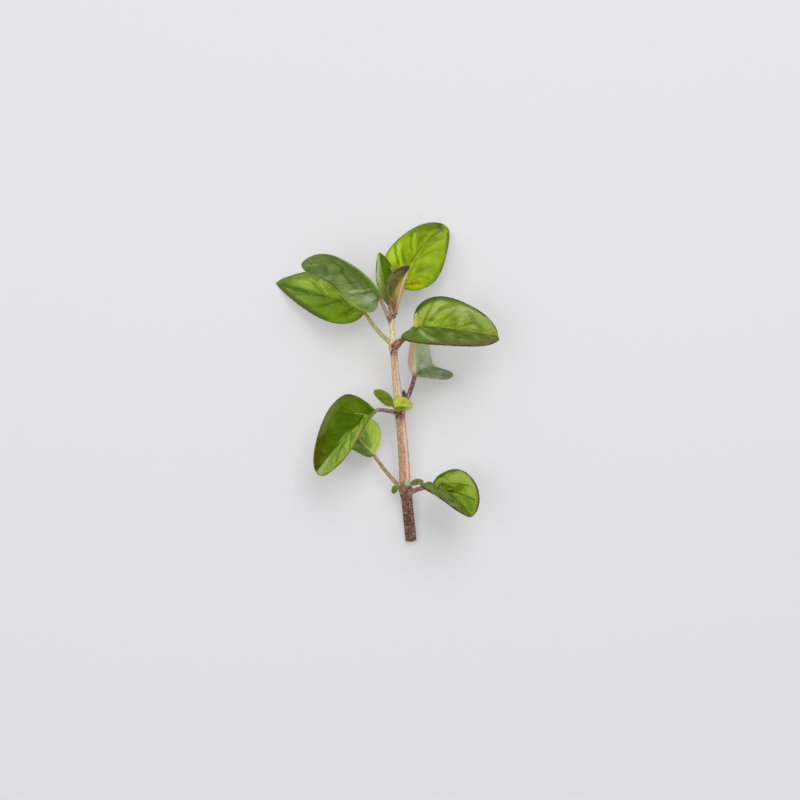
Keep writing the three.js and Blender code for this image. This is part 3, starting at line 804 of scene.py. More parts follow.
def blade_half(shape, row, out, sign):
    """The middle of the sheet on one side of the midrib, and the way its upper face looks."""
    side = shape["left"] if sign < 0 else shape["right"]
    row, out = np.meshgrid(row, out, indexing="ij")
    start = row**VEIN_START
    end = 1 - (1 - start) ** VEIN_SWEEP
    width = outline(shape, side, end)
    behind = side["lobe"] * width * out**2 * (1 - end) ** 4
    along = start + (end - start) * out**VEIN_CURVE - behind
    reach = side["wide"] * width * out
    teeth = TOOTH_HEIGHT * np.abs(np.sin(np.pi * detail(shape)["teeth"] * row))
    reach = reach + teeth * out**12 * np.minimum(1, 3 * width)
    place, _, up, right = rib_frame(shape, along)

    share = np.clip(along, 0, 1)
    if "settle" in shape:
        share = 1 - np.exp(-share / shape["settle"])
    fold = np.radians(side["fold"][0] + (side["fold"][1] - side["fold"][0]) * share)
    turned = fold * (1 - np.exp(-((reach / RIB_GROOVE) ** 2)))
    turned = turned + np.radians(side["curl"]) * reach / side["wide"]
    step = np.diff(reach, axis=1, prepend=reach[:, :1])
    halfway = (turned + np.roll(turned, 1, axis=1)) / 2
    outwards = np.cumsum(step * np.cos(halfway), axis=1)[..., None]
    upwards = np.cumsum(step * np.sin(halfway), axis=1)[..., None]

    turned = turned[..., None]
    facing = up * np.cos(turned) - sign * right * np.sin(turned)
    stands = relief(shape, row, out, reach, width, sign)[..., None]
    return place + sign * right * outwards + up * upwards + facing * stands, facing


trial, _ = blade_half(LEAVES["leaf_3_right"], np.linspace(0, 1, 9), np.linspace(0, 1, 5), 1)
print("right half of leaf_3_right, mm from low to high:", round(float(np.ptp(trial[..., 2])), 1))


# %% [markdown]
# ## From a surface to a thin closed sheet
#
# The upper and the lower face are the middle moved out by half the thickness, thinner at the
# margin. A row of points between the two makes the edge round. At the foot and the tip all
# points of a row meet in one, so they are made one vertex, and the faces there become triangles.


# %% Blade mesh
def blade_grid(shape):
    """Both halves side by side: rows, places across, the sheet's middle and its facing."""
    fine = detail(shape)
    rows = np.linspace(0, 1, fine["rows"] + 1)
    out = 0.5 - 0.5 * np.cos(np.pi * np.linspace(0, 1, fine["columns"] + 1))
    left, left_up = blade_half(shape, rows, out, -1)
    right, right_up = blade_half(shape, rows, out, 1)
    middle = np.concatenate([left[:, :0:-1], right], axis=1)
    rib_up = left_up[:, :1] + right_up[:, :1]
    facing = unit(np.concatenate([left_up[:, :0:-1], rib_up, right_up[:, 1:]], axis=1))
    return rows, np.concatenate([-out[:0:-1], out]), middle, facing


def rest_on_surface(upper, lower):
    """Lays flat whatever would reach through the surface, upper side up or down."""
    low_is_lower = lower[..., 2] < upper[..., 2]
    low = np.where(low_is_lower, lower[..., 2], upper[..., 2]).clip(ABOVE_SURFACE)
    high = np.where(low_is_lower, upper[..., 2], lower[..., 2])
    high = high.clip(ABOVE_SURFACE + BLADE_THICKNESS * 0.9)
    lower[..., 2] = np.where(low_is_lower, low, high)
    upper[..., 2] = np.where(low_is_lower, high, low)


def blade_mesh(name, shape):
    """A closed thin blade, with its own coordinates as a UV map."""
    rows, across, middle, facing = blade_grid(shape)
    thin = (BLADE_THICKNESS / 2) * (1 - MARGIN_THINNING * np.abs(across) ** 6)[None, :, None]
    upper, lower = middle + facing * thin, middle - facing * thin
    rest_on_surface(upper, lower)
    edges = []
    for j, inner in ((0, 1), (-1, -2)):
        edge = (upper[:, j] + lower[:, j]) / 2
        edge = edge + unit(edge - middle[:, inner]) * BLADE_THICKNESS * EDGE_ROUND
        edge[:, 2] = np.maximum(edge[:, 2], EDGE_ABOVE)
        edges.append(edge)

    count, wide = len(rows), len(across)
    points = np.concatenate([upper.reshape(-1, 3), lower.reshape(-1, 3), *edges])
    index_u = np.arange(count * wide).reshape(count, wide)
    index_l = index_u + count * wide
    index_e = [2 * count * wide + k * count + np.arange(count) for k in (0, 1)]
    index_u[[0, -1]] = index_u[[0, -1], :1]
    index_l[[0, -1]] = index_l[[0, -1], :1]
    index_e[1][[0, -1]] = index_e[0][[0, -1]]
    faces = blade_faces(index_u, index_l, index_e)

    u = np.concatenate([np.tile(across, 2 * count), np.full(count, -1.0), np.full(count, 1.0)])
    v = np.concatenate([np.repeat(rows, wide), np.repeat(rows, wide), rows, rows])
    top = np.repeat([1.0, 0.0, 0.5], [count * wide, count * wide, 2 * count])
    return sheet_mesh(name, placed(points), faces, np.stack([u, v], 1), top)


def blade_faces(upper, lower, edges):
    """The sheet's faces as corner lists, with the corners that meet in one point merged."""
    quads = []
    for i in range(len(upper) - 1):
        k = i + 1
        for j in range(upper.shape[1] - 1):
            m = j + 1
            quads.append((upper[i, j], upper[i, m], upper[k, m], upper[k, j]))
            quads.append((lower[i, j], lower[k, j], lower[k, m], lower[i, m]))
        left, right = edges
        quads.append((upper[i, -1], right[i], right[k], upper[k, -1]))
        quads.append((right[i], lower[i, -1], lower[k, -1], right[k]))
        quads.append((upper[i, 0], upper[k, 0], left[k], left[i]))
        quads.append((left[i], left[k], lower[k, 0], lower[i, 0]))
    merged = [tuple(dict.fromkeys(int(c) for c in quad)) for quad in quads]
    return [face for face in merged if len(face) > 2]


def sheet_mesh(name, points, faces, blade_uv, top):
    """A smooth mesh with the blade's own coordinates and which side is the upper one."""
    used = np.unique(np.concatenate([np.array(f) for f in faces]))
    renumber = np.zeros(len(points), int)
    renumber[used] = np.arange(len(used))
    mesh = bpy.data.meshes.new(name)
    mesh.from_pydata(points[used].tolist(), [], [[int(renumber[c]) for c in f] for f in faces])
    mesh.polygons.foreach_set("use_smooth", [True] * len(mesh.polygons))
    corners = np.zeros(len(mesh.loops), np.int32)
    mesh.loops.foreach_get("vertex_index", corners)
    layer = mesh.uv_layers.new(name="blade")
    layer.data.foreach_set("uv", blade_uv[used][corners].astype(np.float32).ravel())
    write_points(mesh, "upper", top[used])
    return mesh


trial = blade_mesh("trial", LEAVES["leaf_4_right"])
print("a full blade:", len(trial.vertices), "vertices,", round(inside_of(trial), 1), "cubic mm")
bpy.data.meshes.remove(trial)

# %% [markdown]
# ## Stalk and midrib in one sweep
#
# A leaf's stalk doesn't end at the blade: it runs on below it as the midrib and fades towards the
# tip. So one path does for both. It starts inside the stem, so that the two join without a gap,
# and swells a little there, as real stalks do where they clasp the stem. The path also says which
# of its points are midrib, because the midrib is paler than the stalk.

# %% Stalk path
STALK_STEPS = 26
RIB_STEPS = 44
RIB_END = 0.93
RIB_SINK = 0.16
ROOT_DEPTH = 0.35
RIB_TIP = 0.05
PALE_BY = 0.12


def stalk_path(shape):
    """Points, half widths and which of them are midrib, in millimetres of the drawing."""
    (start, bend), foot = shape["stalk"], np.array(shape["foot"], float)
    start, bend = np.array(start, float), np.array(bend, float)
    start = start - unit(bend - start) * ROOT_DEPTH
    t = np.linspace(0, 1, STALK_STEPS, endpoint=False)[:, None]
    stalk = start * (1 - t) ** 2 + 2 * bend * t * (1 - t) + foot * t**2
    along = np.linspace(0, RIB_END, RIB_STEPS)
    place, _, up, _ = rib_frame(shape, along)
    sunk = RIB_SINK + 0.6 * shape["thick"] * (1 - along)[:, None] ** 3 * 0.4
    rib = place - up * sunk
    thick = shape["thick"]
    t = t[:, 0]
    clasp, taper = shape.get("clasp", 0.3), shape.get("taper", 1.5)
    stalk_thick = thick * (1.12 - 0.2 * t + clasp * np.exp(-((t / (0.4 * clasp)) ** 2)))
    rib_thick = RIB_TIP + (thick * 0.92 - RIB_TIP) * (1 - along / RIB_END) ** taper
    pale = np.clip(along / shape.get("pale_by", PALE_BY), 0, 1)
    is_rib = np.concatenate([np.zeros(len(t)), pale])
    points = np.concatenate([stalk, rib])
    thickness = np.concatenate([stalk_thick, rib_thick])
    points[:, 2] = np.maximum(points[:, 2], thickness * 1.05)
    return points, thickness, is_rib


for name in ("leaf_2_left", "leaf_3_right"):
    points, thickness, _ = stalk_path(LEAVES[name])
    thickest = round(float(thickness.max()), 2)
    print(name, "stalk and rib:", len(points), "stations, thickest", thickest)

# %% [markdown]
# ## Skins for the stalks
#
# Sun turns the upper side of many stalks purple, while the underside stays green or yellow. The
# stalk's own attributes say where its top is and how far along it a point lies, so each stalk is
# painted in soft steps between paints: one for the top, one for the sides, one for the end at the
# stem and one for the midrib below the blade. Besides each stalk's own flush, the top paint is
# mostly the lighter one, a painted light from above, and the side paint the darker one, a painted
# shade where the sides turn away from the light. The same pale curls lie on it as on the stem.


# %% Stalk skin
def make_stalk_skin(name, top_colour_and_light, side_colour_and_shade, end_paint, rib_paint):
    skin, start = new_finish(name + "_skin")
    place = object_place(start)
    top, rib, along = (stored_number(start, name) for name in ("top", "rib", "along"))
    fine, wide = noise_at(start, place, 3600.0, 3.0), noise_at(start, place, 1100.0)
    # painted light on the top and painted shade on the sides, over each stalk's own colours
    colour = mixed((top + (wide - 0.5) * 1.4).rise(0.1, 0.8), side_colour_and_shade, top_colour_and_light)
    colour = mixed(1 - (along + (wide - 0.5) * 0.06).rise(0.03, 0.09), colour, end_paint)
    hair = curls(start, place, 2100.0, 0.06, 0.14)
    colour = mixed((1 - fine.rise(0.37, 0.47)) * 0.3 * (1 - rib), colour, "64403c")
    colour = mixed(fine.rise(0.56, 0.66) * 0.35 * (1 - rib), colour, "f8e0c8")
    colour = mixed(hair * 0.6 * (1 - rib), colour, "fff0d8")
    colour = mixed(rib, colour, mixed(fine.rise(0.5, 0.66) * 0.3, rib_paint, "f0e8c8"))
    sockets = {"Strength": 0.6, "Distance": 6e-5, "Height": fine * 0.5 + hair * 0.5}
    normal = start.node("ShaderNodeBump", None, sockets)
    sockets = {"Base Color": colour, "Roughness": 0.42 + fine * 0.2, "Normal": normal}
    finish_with(start, start.node("ShaderNodeBsdfPrincipled", None, sockets))
    return skin


# %% [markdown]
# ## The leaf skin
#
# A leaf's colour isn't one green. Each half of a blade is tilted its own way, and its two paints
# hold its own tone together with painted light and shade for the way that half faces the lamp. The
# raised tissue between veins gets a painted highlight, the side veins are pale lines with a band
# of painted shade beyond them, finer ones divide the rest into a net, and the margin is often
# flushed purple. The underside is paler and duller. All of it is laid out by the blade's own
# coordinates, `u` across from margin to margin and `v` along its rows, so the veins stay on the
# veins whatever way the blade bends.
#
# No two blades are alike, so each may also have a few soft patches: a yellow foot, a bronzed tip,
# painted highlights and sheen where the surface would catch the lamp, and painted shade where a
# half turns from it. A patch is a place in `u` and `v`, a reach each way, a paint and an amount,
# and its edge wanders with the mottling. A drawn line is a soft line from one place to another:
# painted shade along folds and the midrib's groove, painted highlights and glints beside them, and
# a few of the margin's own brown and purple tints.
#
# A leaf also lets light through. A Translucent shader mixed in with the glossy surface does this
# for a thin sheet at much less cost than real scattering.

# %% Places on a blade, as wires
NET_CELLS = 1500.0
MOTTLE = 460.0
GRAIN = 3400.0
SPECKS = 1350.0
MARGIN_WANDER = 0.16
BLADE_LONG = 3.0  # times as long as a half is wide
SKIN_DEPTH = 0.00013


def blade_places(start, veins):
    """Everything that the paints of a blade are laid out by."""
    place = object_place(start)
    blade = start.node("ShaderNodeUVMap", {"uv_map": "blade"})
    across = start.node("ShaderNodeSeparateXYZ", None, {0: blade}, "X")
    on = {"across": across, "row": across.out("Y"), "out": abs(across)}
    on["mottle"] = noise_at(start, place, MOTTLE, 4.0)
    on["grain"] = noise_at(start, place, GRAIN)
    kind = {"feature": "DISTANCE_TO_EDGE"}
    cells = start.node("ShaderNodeTexVoronoi", kind, {"Vector": place, "Scale": NET_CELLS})
    on["net"], on["lines"] = cells, 1 - cells.rise(0.02, 0.14)
    dots = start.node("ShaderNodeTexVoronoi", None, {"Vector": place, "Scale": SPECKS})
    on["specks"] = 1 - dots.rise(0.1, 0.2)

    on["right"] = across.rise(-0.015, 0.015)
    stage = on["row"] * (veins + 1) + on["right"] * VEIN_OFFSET
    near_vein = stage.sum("ROUND", stage)
    beyond = stage - stage.sum("FLOOR", stage)
    inner = stage.rise(0.4, 0.6) * (1 - stage.rise(veins + 0.4, veins + 0.6))
    fades = 1 - on["out"].rise(0.5, 0.95)
    on["vein"] = (1 - abs(stage - near_vein).rise(0.01, 0.05)) * inner * fades
    on["vein"] = on["vein"] * on["mottle"].rise(0.3, 0.7)
    # Painted shade: a dark band just beyond each side vein, where the pillow's steep side faces
    # away from the light.
    on["vein_shade"] = (1 - beyond.rise(0.04, 0.3)) * stage.rise(0.9, 1.0) * fades
    # Painted highlight: the raised middle of each pillow, which the look's light paint makes
    # lighter.
    puffed = beyond.rise(0.1, 0.5) * (1 - beyond.rise(0.75, 1.0)) * (1 - on["out"].rise(0.7, 1.0))
    on["puffed"] = puffed * on["out"].rise(0.0, 0.3) * on["mottle"].rise(0.35, 0.6)
    on["rib"] = (1 - on["out"].rise(0.01, 0.04)) * (1 - on["row"].rise(0.3, 1.0) * 0.8)
    return on


def patched(colour, on, patches):
    """A paint with soft patches laid on it, one after the other."""
    for u, v, reach_u, reach_v, shade, amount in patches:
        off_u, off_v = (on["across"] - u) / reach_u, (on["row"] - v) / reach_v
        far = (off_u * off_u + off_v * off_v) ** 0.5 + (on["mottle"] - 0.5) * 1.3
        colour = mixed((1 - far.rise(0.3, 1.15)) * amount, colour, shade)
    return colour


def lined_with_shade_glints_and_tints(colour, on, shade_glint_and_tint_lines):
    """A colour with soft lines laid on it, each from one place on the blade to another: painted
    shade, painted highlights and glints, and a few of the leaf's own tints.
    """
    for from_u, from_v, to_u, to_v, reach, shade, amount in shade_glint_and_tint_lines:
        long_u, long_v = to_u - from_u, (to_v - from_v) * BLADE_LONG
        off_u, off_v = on["across"] - from_u, (on["row"] - from_v) * BLADE_LONG
        share = (off_u * long_u + off_v * long_v) / (long_u**2 + long_v**2)
        share = share.node("ShaderNodeClamp", None, {"Value": share})
        off_u, off_v = off_u - share * long_u, off_v - share * long_v
        far = (off_u * off_u + off_v * off_v) ** 0.5 + (on["mottle"] - 0.5) * 0.12
        colour = mixed((1 - far.rise(reach * 0.4, reach)) * amount, colour, shade)
    return colour


# %% The paints of the two faces
PILLOW_HIGHLIGHT_AMOUNT = 0.35
UNDER_VEIN_AMOUNT = 0.7
PLAIN_LOOK = {  # for whatever a leaf's own look leaves out
    "patches": (), "shade_glint_and_tint_lines": (), "under_patches": (), "under_creases": (),
    "net": 0.22, "vein_shade": 0.45, "specks": 0.25, "vein_amount": 0.25, "rib_amount": 0.5,
    "under": ("8fa56c", "a3b681"), "under_vein": "c4cfa8", "under_net": 0.3,
    "margin_wide": 0.05, "margin_amount": 0.8, "thin": 0.16,
    "bump": 0.6, "rough": 0.36, "gloss": 0.25, "sheen": "ffffff",
}


def upper_paint(on, look, margin):
    """The two halves' greens with painted light and shade, patches, painted pillow highlights, the
    net, painted vein shade, the veins and the drawn lines.
    """
    # Each half's two greens include painted light and shade for the way that half faces the lamp.
    halves = [mixed(on["mottle"].rise(0.38, 0.62), *look[side]) for side in ("left", "right")]
    colour = mixed(on["right"], *halves)
    # painted highlight on the raised pillows
    colour = mixed(on["puffed"] * PILLOW_HIGHLIGHT_AMOUNT, colour, look["light"])
    colour = patched(colour, on, look["patches"])
    colour = mixed(on["lines"] * look["net"], colour, look["dark"])
    # painted shade beyond each side vein
    colour = mixed(on["vein_shade"] * look["vein_shade"], colour, look["dark"])
    colour = mixed(on["specks"] * look["specks"], colour, look["vein"])
    colour = mixed(on["vein"] * look["vein_amount"], colour, look["vein"])
    colour = mixed(on["rib"] * look["rib_amount"], colour, look["rib"])
    colour = lined_with_shade_glints_and_tints(colour, on, look["shade_glint_and_tint_lines"])
    return mixed(margin, colour, look["margin"])


def under_paint(on, look, margin):
    """A paler green with its own patches and pale veins."""
    colour = mixed(on["mottle"].rise(0.35, 0.65), *look["under"])
    if "under_right" in look:
        colour = mixed(on["right"], colour, look["under_right"])
    colour = patched(colour, on, look["under_patches"])
    colour = mixed(on["lines"] * look["under_net"], colour, look["under_vein"])
    colour = mixed(on["specks"] * look["specks"], colour, look["under_vein"])
    colour = mixed(on["vein"] * UNDER_VEIN_AMOUNT, colour, look["under_vein"])
    colour = lined_with_shade_glints_and_tints(colour, on, look["under_creases"])
    return mixed(margin, colour, look["margin"])


# %% Leaf skin
def make_leaf_skin(name, own_look, veins):
    look = {**PLAIN_LOOK, **own_look}
    skin, start = new_finish(name + "_skin")
    on = blade_places(start, veins)
    wander = (on["mottle"] - 0.5) * MARGIN_WANDER
    margin = (on["out"] + wander).rise(1 - look["margin_wide"], 0.99)
    margin = margin * look["margin_amount"] * on["mottle"].rise(0.2, 0.5)
    upper = stored_number(start, "upper")
    colour = mixed(upper, under_paint(on, look, margin), upper_paint(on, look, margin))

    relief_map = on["net"].rise(0.0, 0.3) * 0.6 + on["grain"] * 0.5 + on["specks"] * 0.2
    sockets = {"Strength": look["bump"], "Distance": SKIN_DEPTH, "Height": relief_map}
    normal = start.node("ShaderNodeBump", None, sockets)
    rough = look["rough"] + on["grain"] * 0.16 + (1 - upper) * 0.2
    sockets = {"Base Color": colour, "Roughness": rough, "Normal": normal}
    sockets["Specular IOR Level"] = look["gloss"]
    sockets["Specular Tint"] = paint(look["sheen"])
    surface = start.node("ShaderNodeBsdfPrincipled", None, sockets)
    through = start.node("ShaderNodeBsdfTranslucent", None, {"Color": paint(look["through"])})
    both = {0: look["thin"], 1: surface, 2: through}
    finish_with(start, start.node("ShaderNodeMixShader", None, both))
    return skin


# %% [markdown]
# ## Each leaf's own look
#
# The lower leaves are flushed purple at the margin, the young ones near the tip are a clear
# yellow-green, and the second leaf on the right shows its pale, downy underside. Much of every
# look is painted light and shade: the half of a blade that faces the lamp is painted lighter and
# the half turned away darker, leaves lying in another's shadow are painted lighter to make up for
# it, and pale patches and lines are painted highlights and glints.

# %% Leaf looks
LOOKS = {
    # The right half is painted bright as the facet facing the lamp, brighter still against the
    # shadow of leaf_2_left above it; the left half is painted darker as the shaded side, and the
    # pale patches and lines are painted highlights.
    "leaf_1_left": {
        "right": ("ccec48", "d8f858"), "left": ("6b8044", "788c50"), "light": "e0f880",
        "dark": "6f9018", "vein": "d8dc88", "rib": "ece48c", "margin": "6a7a30",
        "through": "a8c030", "margin_amount": 0.4,
        "vein_amount": 0.5, "vein_shade": 0.2, "net": 0.1, "gloss": 0.1,
        "patches": ((0.2, 0.1, 0.5, 0.2, "e8f070", 0.7), (0.15, 0.45, 0.2, 0.2, "8cac50", 0.7)),
        "shade_glint_and_tint_lines": (
            (0.5, 0.45, 0.0, 0.26, 0.16, "98bc5c", 0.8),
            (0.67, 0.36, 0.26, 0.16, 0.06, "dcec70", 0.8),
            (0.0, 0.4, 0.04, 0.08, 0.07, "e4e488", 0.8),
        ),
    },
    # The near right half is painted dull and dark as the half turned from the light and the far
    # half lighter; pale patches and lines are painted sheen and highlights, dark ones painted
    # shade in folds, and the brown line at the left margin is its own colour.
    "leaf_1_right": {
        "right": ("667a2c", "728638"), "left": ("7c980c", "98b22c"), "light": "a8be50",
        "dark": "3c5a08", "vein": "c4cc70", "rib": "c4cc70", "margin": "43222c",
        "through": "7aa020",
        "margin_amount": 0.95, "vein_amount": 0.55, "gloss": 0.12, "sheen": "e8f0b0",
        "patches": (
            (-0.65, 0.28, 0.35, 0.16, "a8bc50", 0.7), (-0.8, 0.42, 0.2, 0.14, "a0b838", 0.7),
            (-0.28, 0.46, 0.3, 0.1, "486a00", 0.7), (-0.6, 0.7, 0.4, 0.14, "5c7c0c", 0.6),
            (0.3, 0.3, 0.4, 0.4, "4c6430", 0.5),
        ),
        "shade_glint_and_tint_lines": (
            (-0.2, 0.05, -0.52, 0.11, 0.2, "486400", 0.85),
            (-0.52, 0.11, -0.98, 0.18, 0.16, "4c6800", 0.8),
            (-0.45, 0.68, -0.7, 0.78, 0.24, "64841c", 0.6),
            (-0.16, 0.26, -0.3, 0.4, 0.1, "587810", 0.6),
            (-0.05, 0.14, -0.33, 0.32, 0.04, "a8b058", 0.7),
            (-0.36, 0.35, -0.71, 0.44, 0.08, "5c7410", 0.8),
            (-0.03, 0.36, -0.2, 0.45, 0.04, "a8b860", 0.7),
            (-0.1, 0.47, -0.38, 0.57, 0.07, "4c6410", 0.8),
            (-0.38, 0.57, -0.8, 0.61, 0.07, "4c6414", 0.8),
            (-0.84, 0.3, -0.93, 0.42, 0.14, "acbc58", 0.6),
            (-0.71, 0.47, -0.84, 0.55, 0.12, "98b058", 0.4),
            (-0.6, 0.27, -0.67, 0.29, 0.09, "b4bc60", 0.6),
            (0.76, 0.45, 0.48, 0.5, 0.09, "809858", 0.6),
            (0.9, 0.5, 0.87, 0.58, 0.08, "849c60", 0.6),
            (-0.99, 0.35, -0.99, 0.75, 0.07, "6c5c38", 0.6),
        ),
    },
    # The right half is painted dark as the half turned from the light and the left half light,
    # painted brighter still against the shade it lies in; the pale and dark zigzag lines are
    # painted highlights and shade on the facets between veins.
    "leaf_2_left": {
        "right": ("4c6000", "5a7004"), "left": ("9cbc30", "b0cc44"), "light": "789824",
        "dark": "3c5a00", "vein": "93ae40", "rib": "98b040", "margin": "7a5436",
        "through": "7aa020", "gloss": 0.12, "sheen": "d8f090",
        "patches": (
            (0.45, 0.5, 0.4, 0.2, "486a04", 0.7), (0.9, 0.35, 0.15, 0.16, "7c9038", 0.6),
            (0.5, 0.16, 0.4, 0.1, "648414", 0.6), (-0.67, 0.32, 0.4, 0.05, "b0d050", 0.7),
            (-0.4, 0.38, 0.3, 0.05, "5c8020", 0.8), (-0.67, 0.44, 0.5, 0.05, "b4cc58", 0.7),
            (-0.4, 0.54, 0.5, 0.05, "648a28", 0.8), (0.1, 0.62, 0.14, 0.09, "90b438", 0.8),
            (-0.62, 0.82, 0.6, 0.12, "bccc80", 0.8), (-0.6, 0.66, 0.5, 0.05, "a8c860", 0.6),
        ),
        "shade_glint_and_tint_lines": (
            (-0.3, 0.28, -0.85, 0.24, 0.07, "508428", 0.8),
            (-0.24, 0.41, -0.75, 0.35, 0.07, "a8c854", 0.8),
            (-0.4, 0.44, -0.9, 0.4, 0.04, "588434", 0.8),
            (-0.5, 0.48, -0.9, 0.45, 0.06, "7ca048", 0.8),
            (-0.5, 0.53, -0.95, 0.48, 0.05, "a0c44c", 0.8),
            (-0.3, 0.61, -0.85, 0.55, 0.04, "588434", 0.8),
            (-0.3, 0.69, -0.85, 0.63, 0.08, "7ca454", 0.8),
            (-0.3, 0.8, -0.9, 0.8, 0.12, "b0c07c", 0.8),
            (0.32, 0.31, 0.02, 0.26, 0.03, "a8b858", 0.7),
            (0.92, 0.28, 0.92, 0.5, 0.1, "6c7c40", 0.4),
            (-0.7, 0.1, -0.95, 0.22, 0.2, "6c841c", 0.8),
            (0.86, 0.56, 0.86, 0.84, 0.2, "484400", 0.6),
        ),
    },
    # Its underside is painted paler than its own pale underside to make up for the shadow of
    # leaf_3_right above it, and the near-white patches are painted highlights on a ridge.
    "leaf_2_right": {
        "right": ("5f7540", "6f8550"), "left": ("5f8a20", "6b942c"), "light": "86a850",
        "dark": "46601c", "vein": "9ab060", "rib": "b9bc74", "margin": "b8a880",
        "under": ("e4f8ac", "f2ffc4"), "under_vein": "f4fcdc", "through": "98b058",
        "under_right": "fcd4b0", "margin_amount": 0.6, "bump": 0.7,
        "under_patches": (
            (-0.76, 0.4, 0.2, 0.3, "f8ffec", 0.8), (-0.33, 0.38, 0.2, 0.1, "acc890", 0.6),
            (-0.4, 0.08, 0.8, 0.18, "7c9454", 0.95), (-0.9, 0.04, 0.25, 0.08, "50703c", 0.8),
            (-0.4, 0.24, 0.3, 0.04, "ffffff", 0.9), (-0.13, 0.13, 0.16, 0.12, "5c8c10", 0.95),
        ),
    },
    # The right half is painted brighter than the left for how each faces the light; the pale bands
    # are painted highlights, and the dark line along the midrib and those beside the pale bands
    # are painted shade.
    "leaf_3_left": {
        "right": ("82a418", "9cbc30"), "left": ("70901c", "80a028"), "light": "a4c04c",
        "dark": "486c00", "vein": "c8d880", "rib": "b4c048", "margin": "4f6414",
        "through": "8fb820", "vein_amount": 0.5,
        "gloss": 0.12, "sheen": "d8f090",
        "patches": (
            (0.0, 1.0, 1.6, 0.42, "545c3c", 0.8), (0.5, 0.6, 0.35, 0.14, "b8d860", 0.8),
            (0.9, 0.6, 0.12, 0.4, "7c9050", 0.7), (-0.5, 0.55, 0.3, 0.16, "84a438", 0.6),
            (-0.7, 0.3, 0.4, 0.16, "7ca408", 0.6), (-0.3, 0.08, 0.5, 0.1, "b0c840", 0.7),
            (-0.16, 0.27, 0.36, 0.13, "a0bc30", 0.75), (0.2, 0.44, 0.2, 0.1, "a8cc38", 0.7),
        ),
        "shade_glint_and_tint_lines": (
            (-0.6, 0.82, -0.29, 0.72, 0.06, "4c6414", 0.8),
            (-0.29, 0.72, 0.02, 0.6, 0.06, "4c6414", 0.8),
            (0.02, 0.6, 0.0, 0.4, 0.05, "4c6c14", 0.7),
            (0.62, 0.47, 0.2, 0.52, 0.06, "bcd854", 0.8),
            (0.62, 0.53, 0.2, 0.57, 0.05, "749428", 0.7),
            (0.3, 0.35, 0.0, 0.28, 0.05, "c4d848", 0.8),
            (0.2, 0.4, -0.1, 0.3, 0.05, "5c7c08", 0.5),
            (-0.9, 0.8, -0.97, 0.3, 0.14, "58643c", 0.85),
            (-0.6, 0.12, -0.3, 0.04, 0.16, "a8b838", 0.6),
        ),
    },
    # The left half, which faces the lamp, is painted light and the near right half darker; the
    # pale patches and lines are painted highlights and sheen, the dark lines painted shade in
    # folds, and the brown at the tip and along the right margin is its own colour.
    "leaf_3_right": {
        "right": ("586c28", "687a34"), "left": ("94aa34", "a4b84c"), "light": "b4c468",
        "dark": "4c6c10", "vein": "a8bd60", "rib": "a8b850", "margin": "5a3428",
        "through": "8fb030", "margin_wide": 0.04,
        "margin_amount": 0.9, "rough": 0.34, "gloss": 0.15, "sheen": "e4f4a0",
        "patches": (
            (-0.6, 0.27, 0.3, 0.12, "b4cc68", 0.8), (-0.15, 0.37, 0.3, 0.06, "a8cc28", 0.8),
            (-0.15, 0.1, 0.25, 0.12, "b8c030", 0.8), (-0.2, 0.42, 0.2, 0.1, "a4c838", 0.7),
            (-0.72, 0.47, 0.25, 0.1, "b4c080", 0.7), (-0.8, 0.67, 0.3, 0.12, "94a858", 0.6),
            (0.6, 1.0, 0.8, 0.3, "8a7a34", 0.6), (0.95, 0.6, 0.2, 0.4, "7c7034", 0.5),
            (0.75, 0.12, 0.3, 0.08, "6c8830", 0.8), (0.6, 0.23, 0.3, 0.06, "748e3c", 0.8),
        ),
        "shade_glint_and_tint_lines": (
            (-0.7, 0.02, -0.98, 0.12, 0.42, "405c00", 0.95),
            (-0.98, 0.12, -1.0, 0.32, 0.24, "4c6c08", 0.9),
            (-1.0, 0.32, -1.0, 0.55, 0.14, "587818", 0.8),
            (-0.5, 0.05, -0.05, 0.07, 0.16, "dcdc78", 0.9),
            (-0.24, 0.3, -0.57, 0.31, 0.08, "64881c", 0.6),
            (-0.57, 0.31, -0.92, 0.37, 0.1, "6c8c24", 0.7),
            (-0.45, 0.46, -0.15, 0.57, 0.1, "688828", 0.5),
            (-0.2, 0.61, -0.52, 0.64, 0.08, "5c7c20", 0.55),
            (-0.52, 0.64, -0.5, 0.76, 0.1, "5c7c20", 0.5),
            (-0.76, 0.43, -0.78, 0.49, 0.12, "b4c878", 0.5),
            (-0.84, 0.57, -0.76, 0.74, 0.16, "a0b464", 0.6),
            (-0.76, 0.49, -0.66, 0.58, 0.08, "688830", 0.5),
            (-0.5, 0.82, -0.1, 0.72, 0.1, "6c8c24", 0.5),
            (-0.1, 0.3, -0.1, 0.42, 0.07, "a4c830", 0.7),
            (0.55, 0.19, 0.9, 0.26, 0.06, "98b470", 0.8),
            (0.5, 0.24, 0.82, 0.31, 0.08, "48641c", 0.7),
            (0.2, 0.5, 0.6, 0.57, 0.06, "50681c", 0.7),
            (-0.8, 0.9, -0.2, 0.98, 0.2, "a48840", 0.6),
            (0.96, 0.25, 0.98, 0.8, 0.12, "6c6044", 0.8),
            (0.06, 0.2, 0.06, 0.7, 0.06, "587430", 0.6),
        ),
    },
    # The grey-green of the near left half, and of the far half near the tip, is a painted sheen
    # over the green, with near-white painted glints at the foot; the dark lines are painted shade
    # in a fold, and the tan margin and dark purple-brown left edge are its own colour.
    "leaf_4_left": {
        "right": ("688828", "749440"), "left": ("86a04e", "98b05e"), "light": "b0c47c",
        "dark": "607a38", "vein": "b0be8c", "rib": "a8b870", "margin": "b4a078",
        "through": "8cb81c", "margin_amount": 0.3,
        "gloss": 0.06, "sheen": "f4f088", "thin": 0.26, "vein_shade": 0.15,
        "vein_amount": 0.15,
        "patches": (
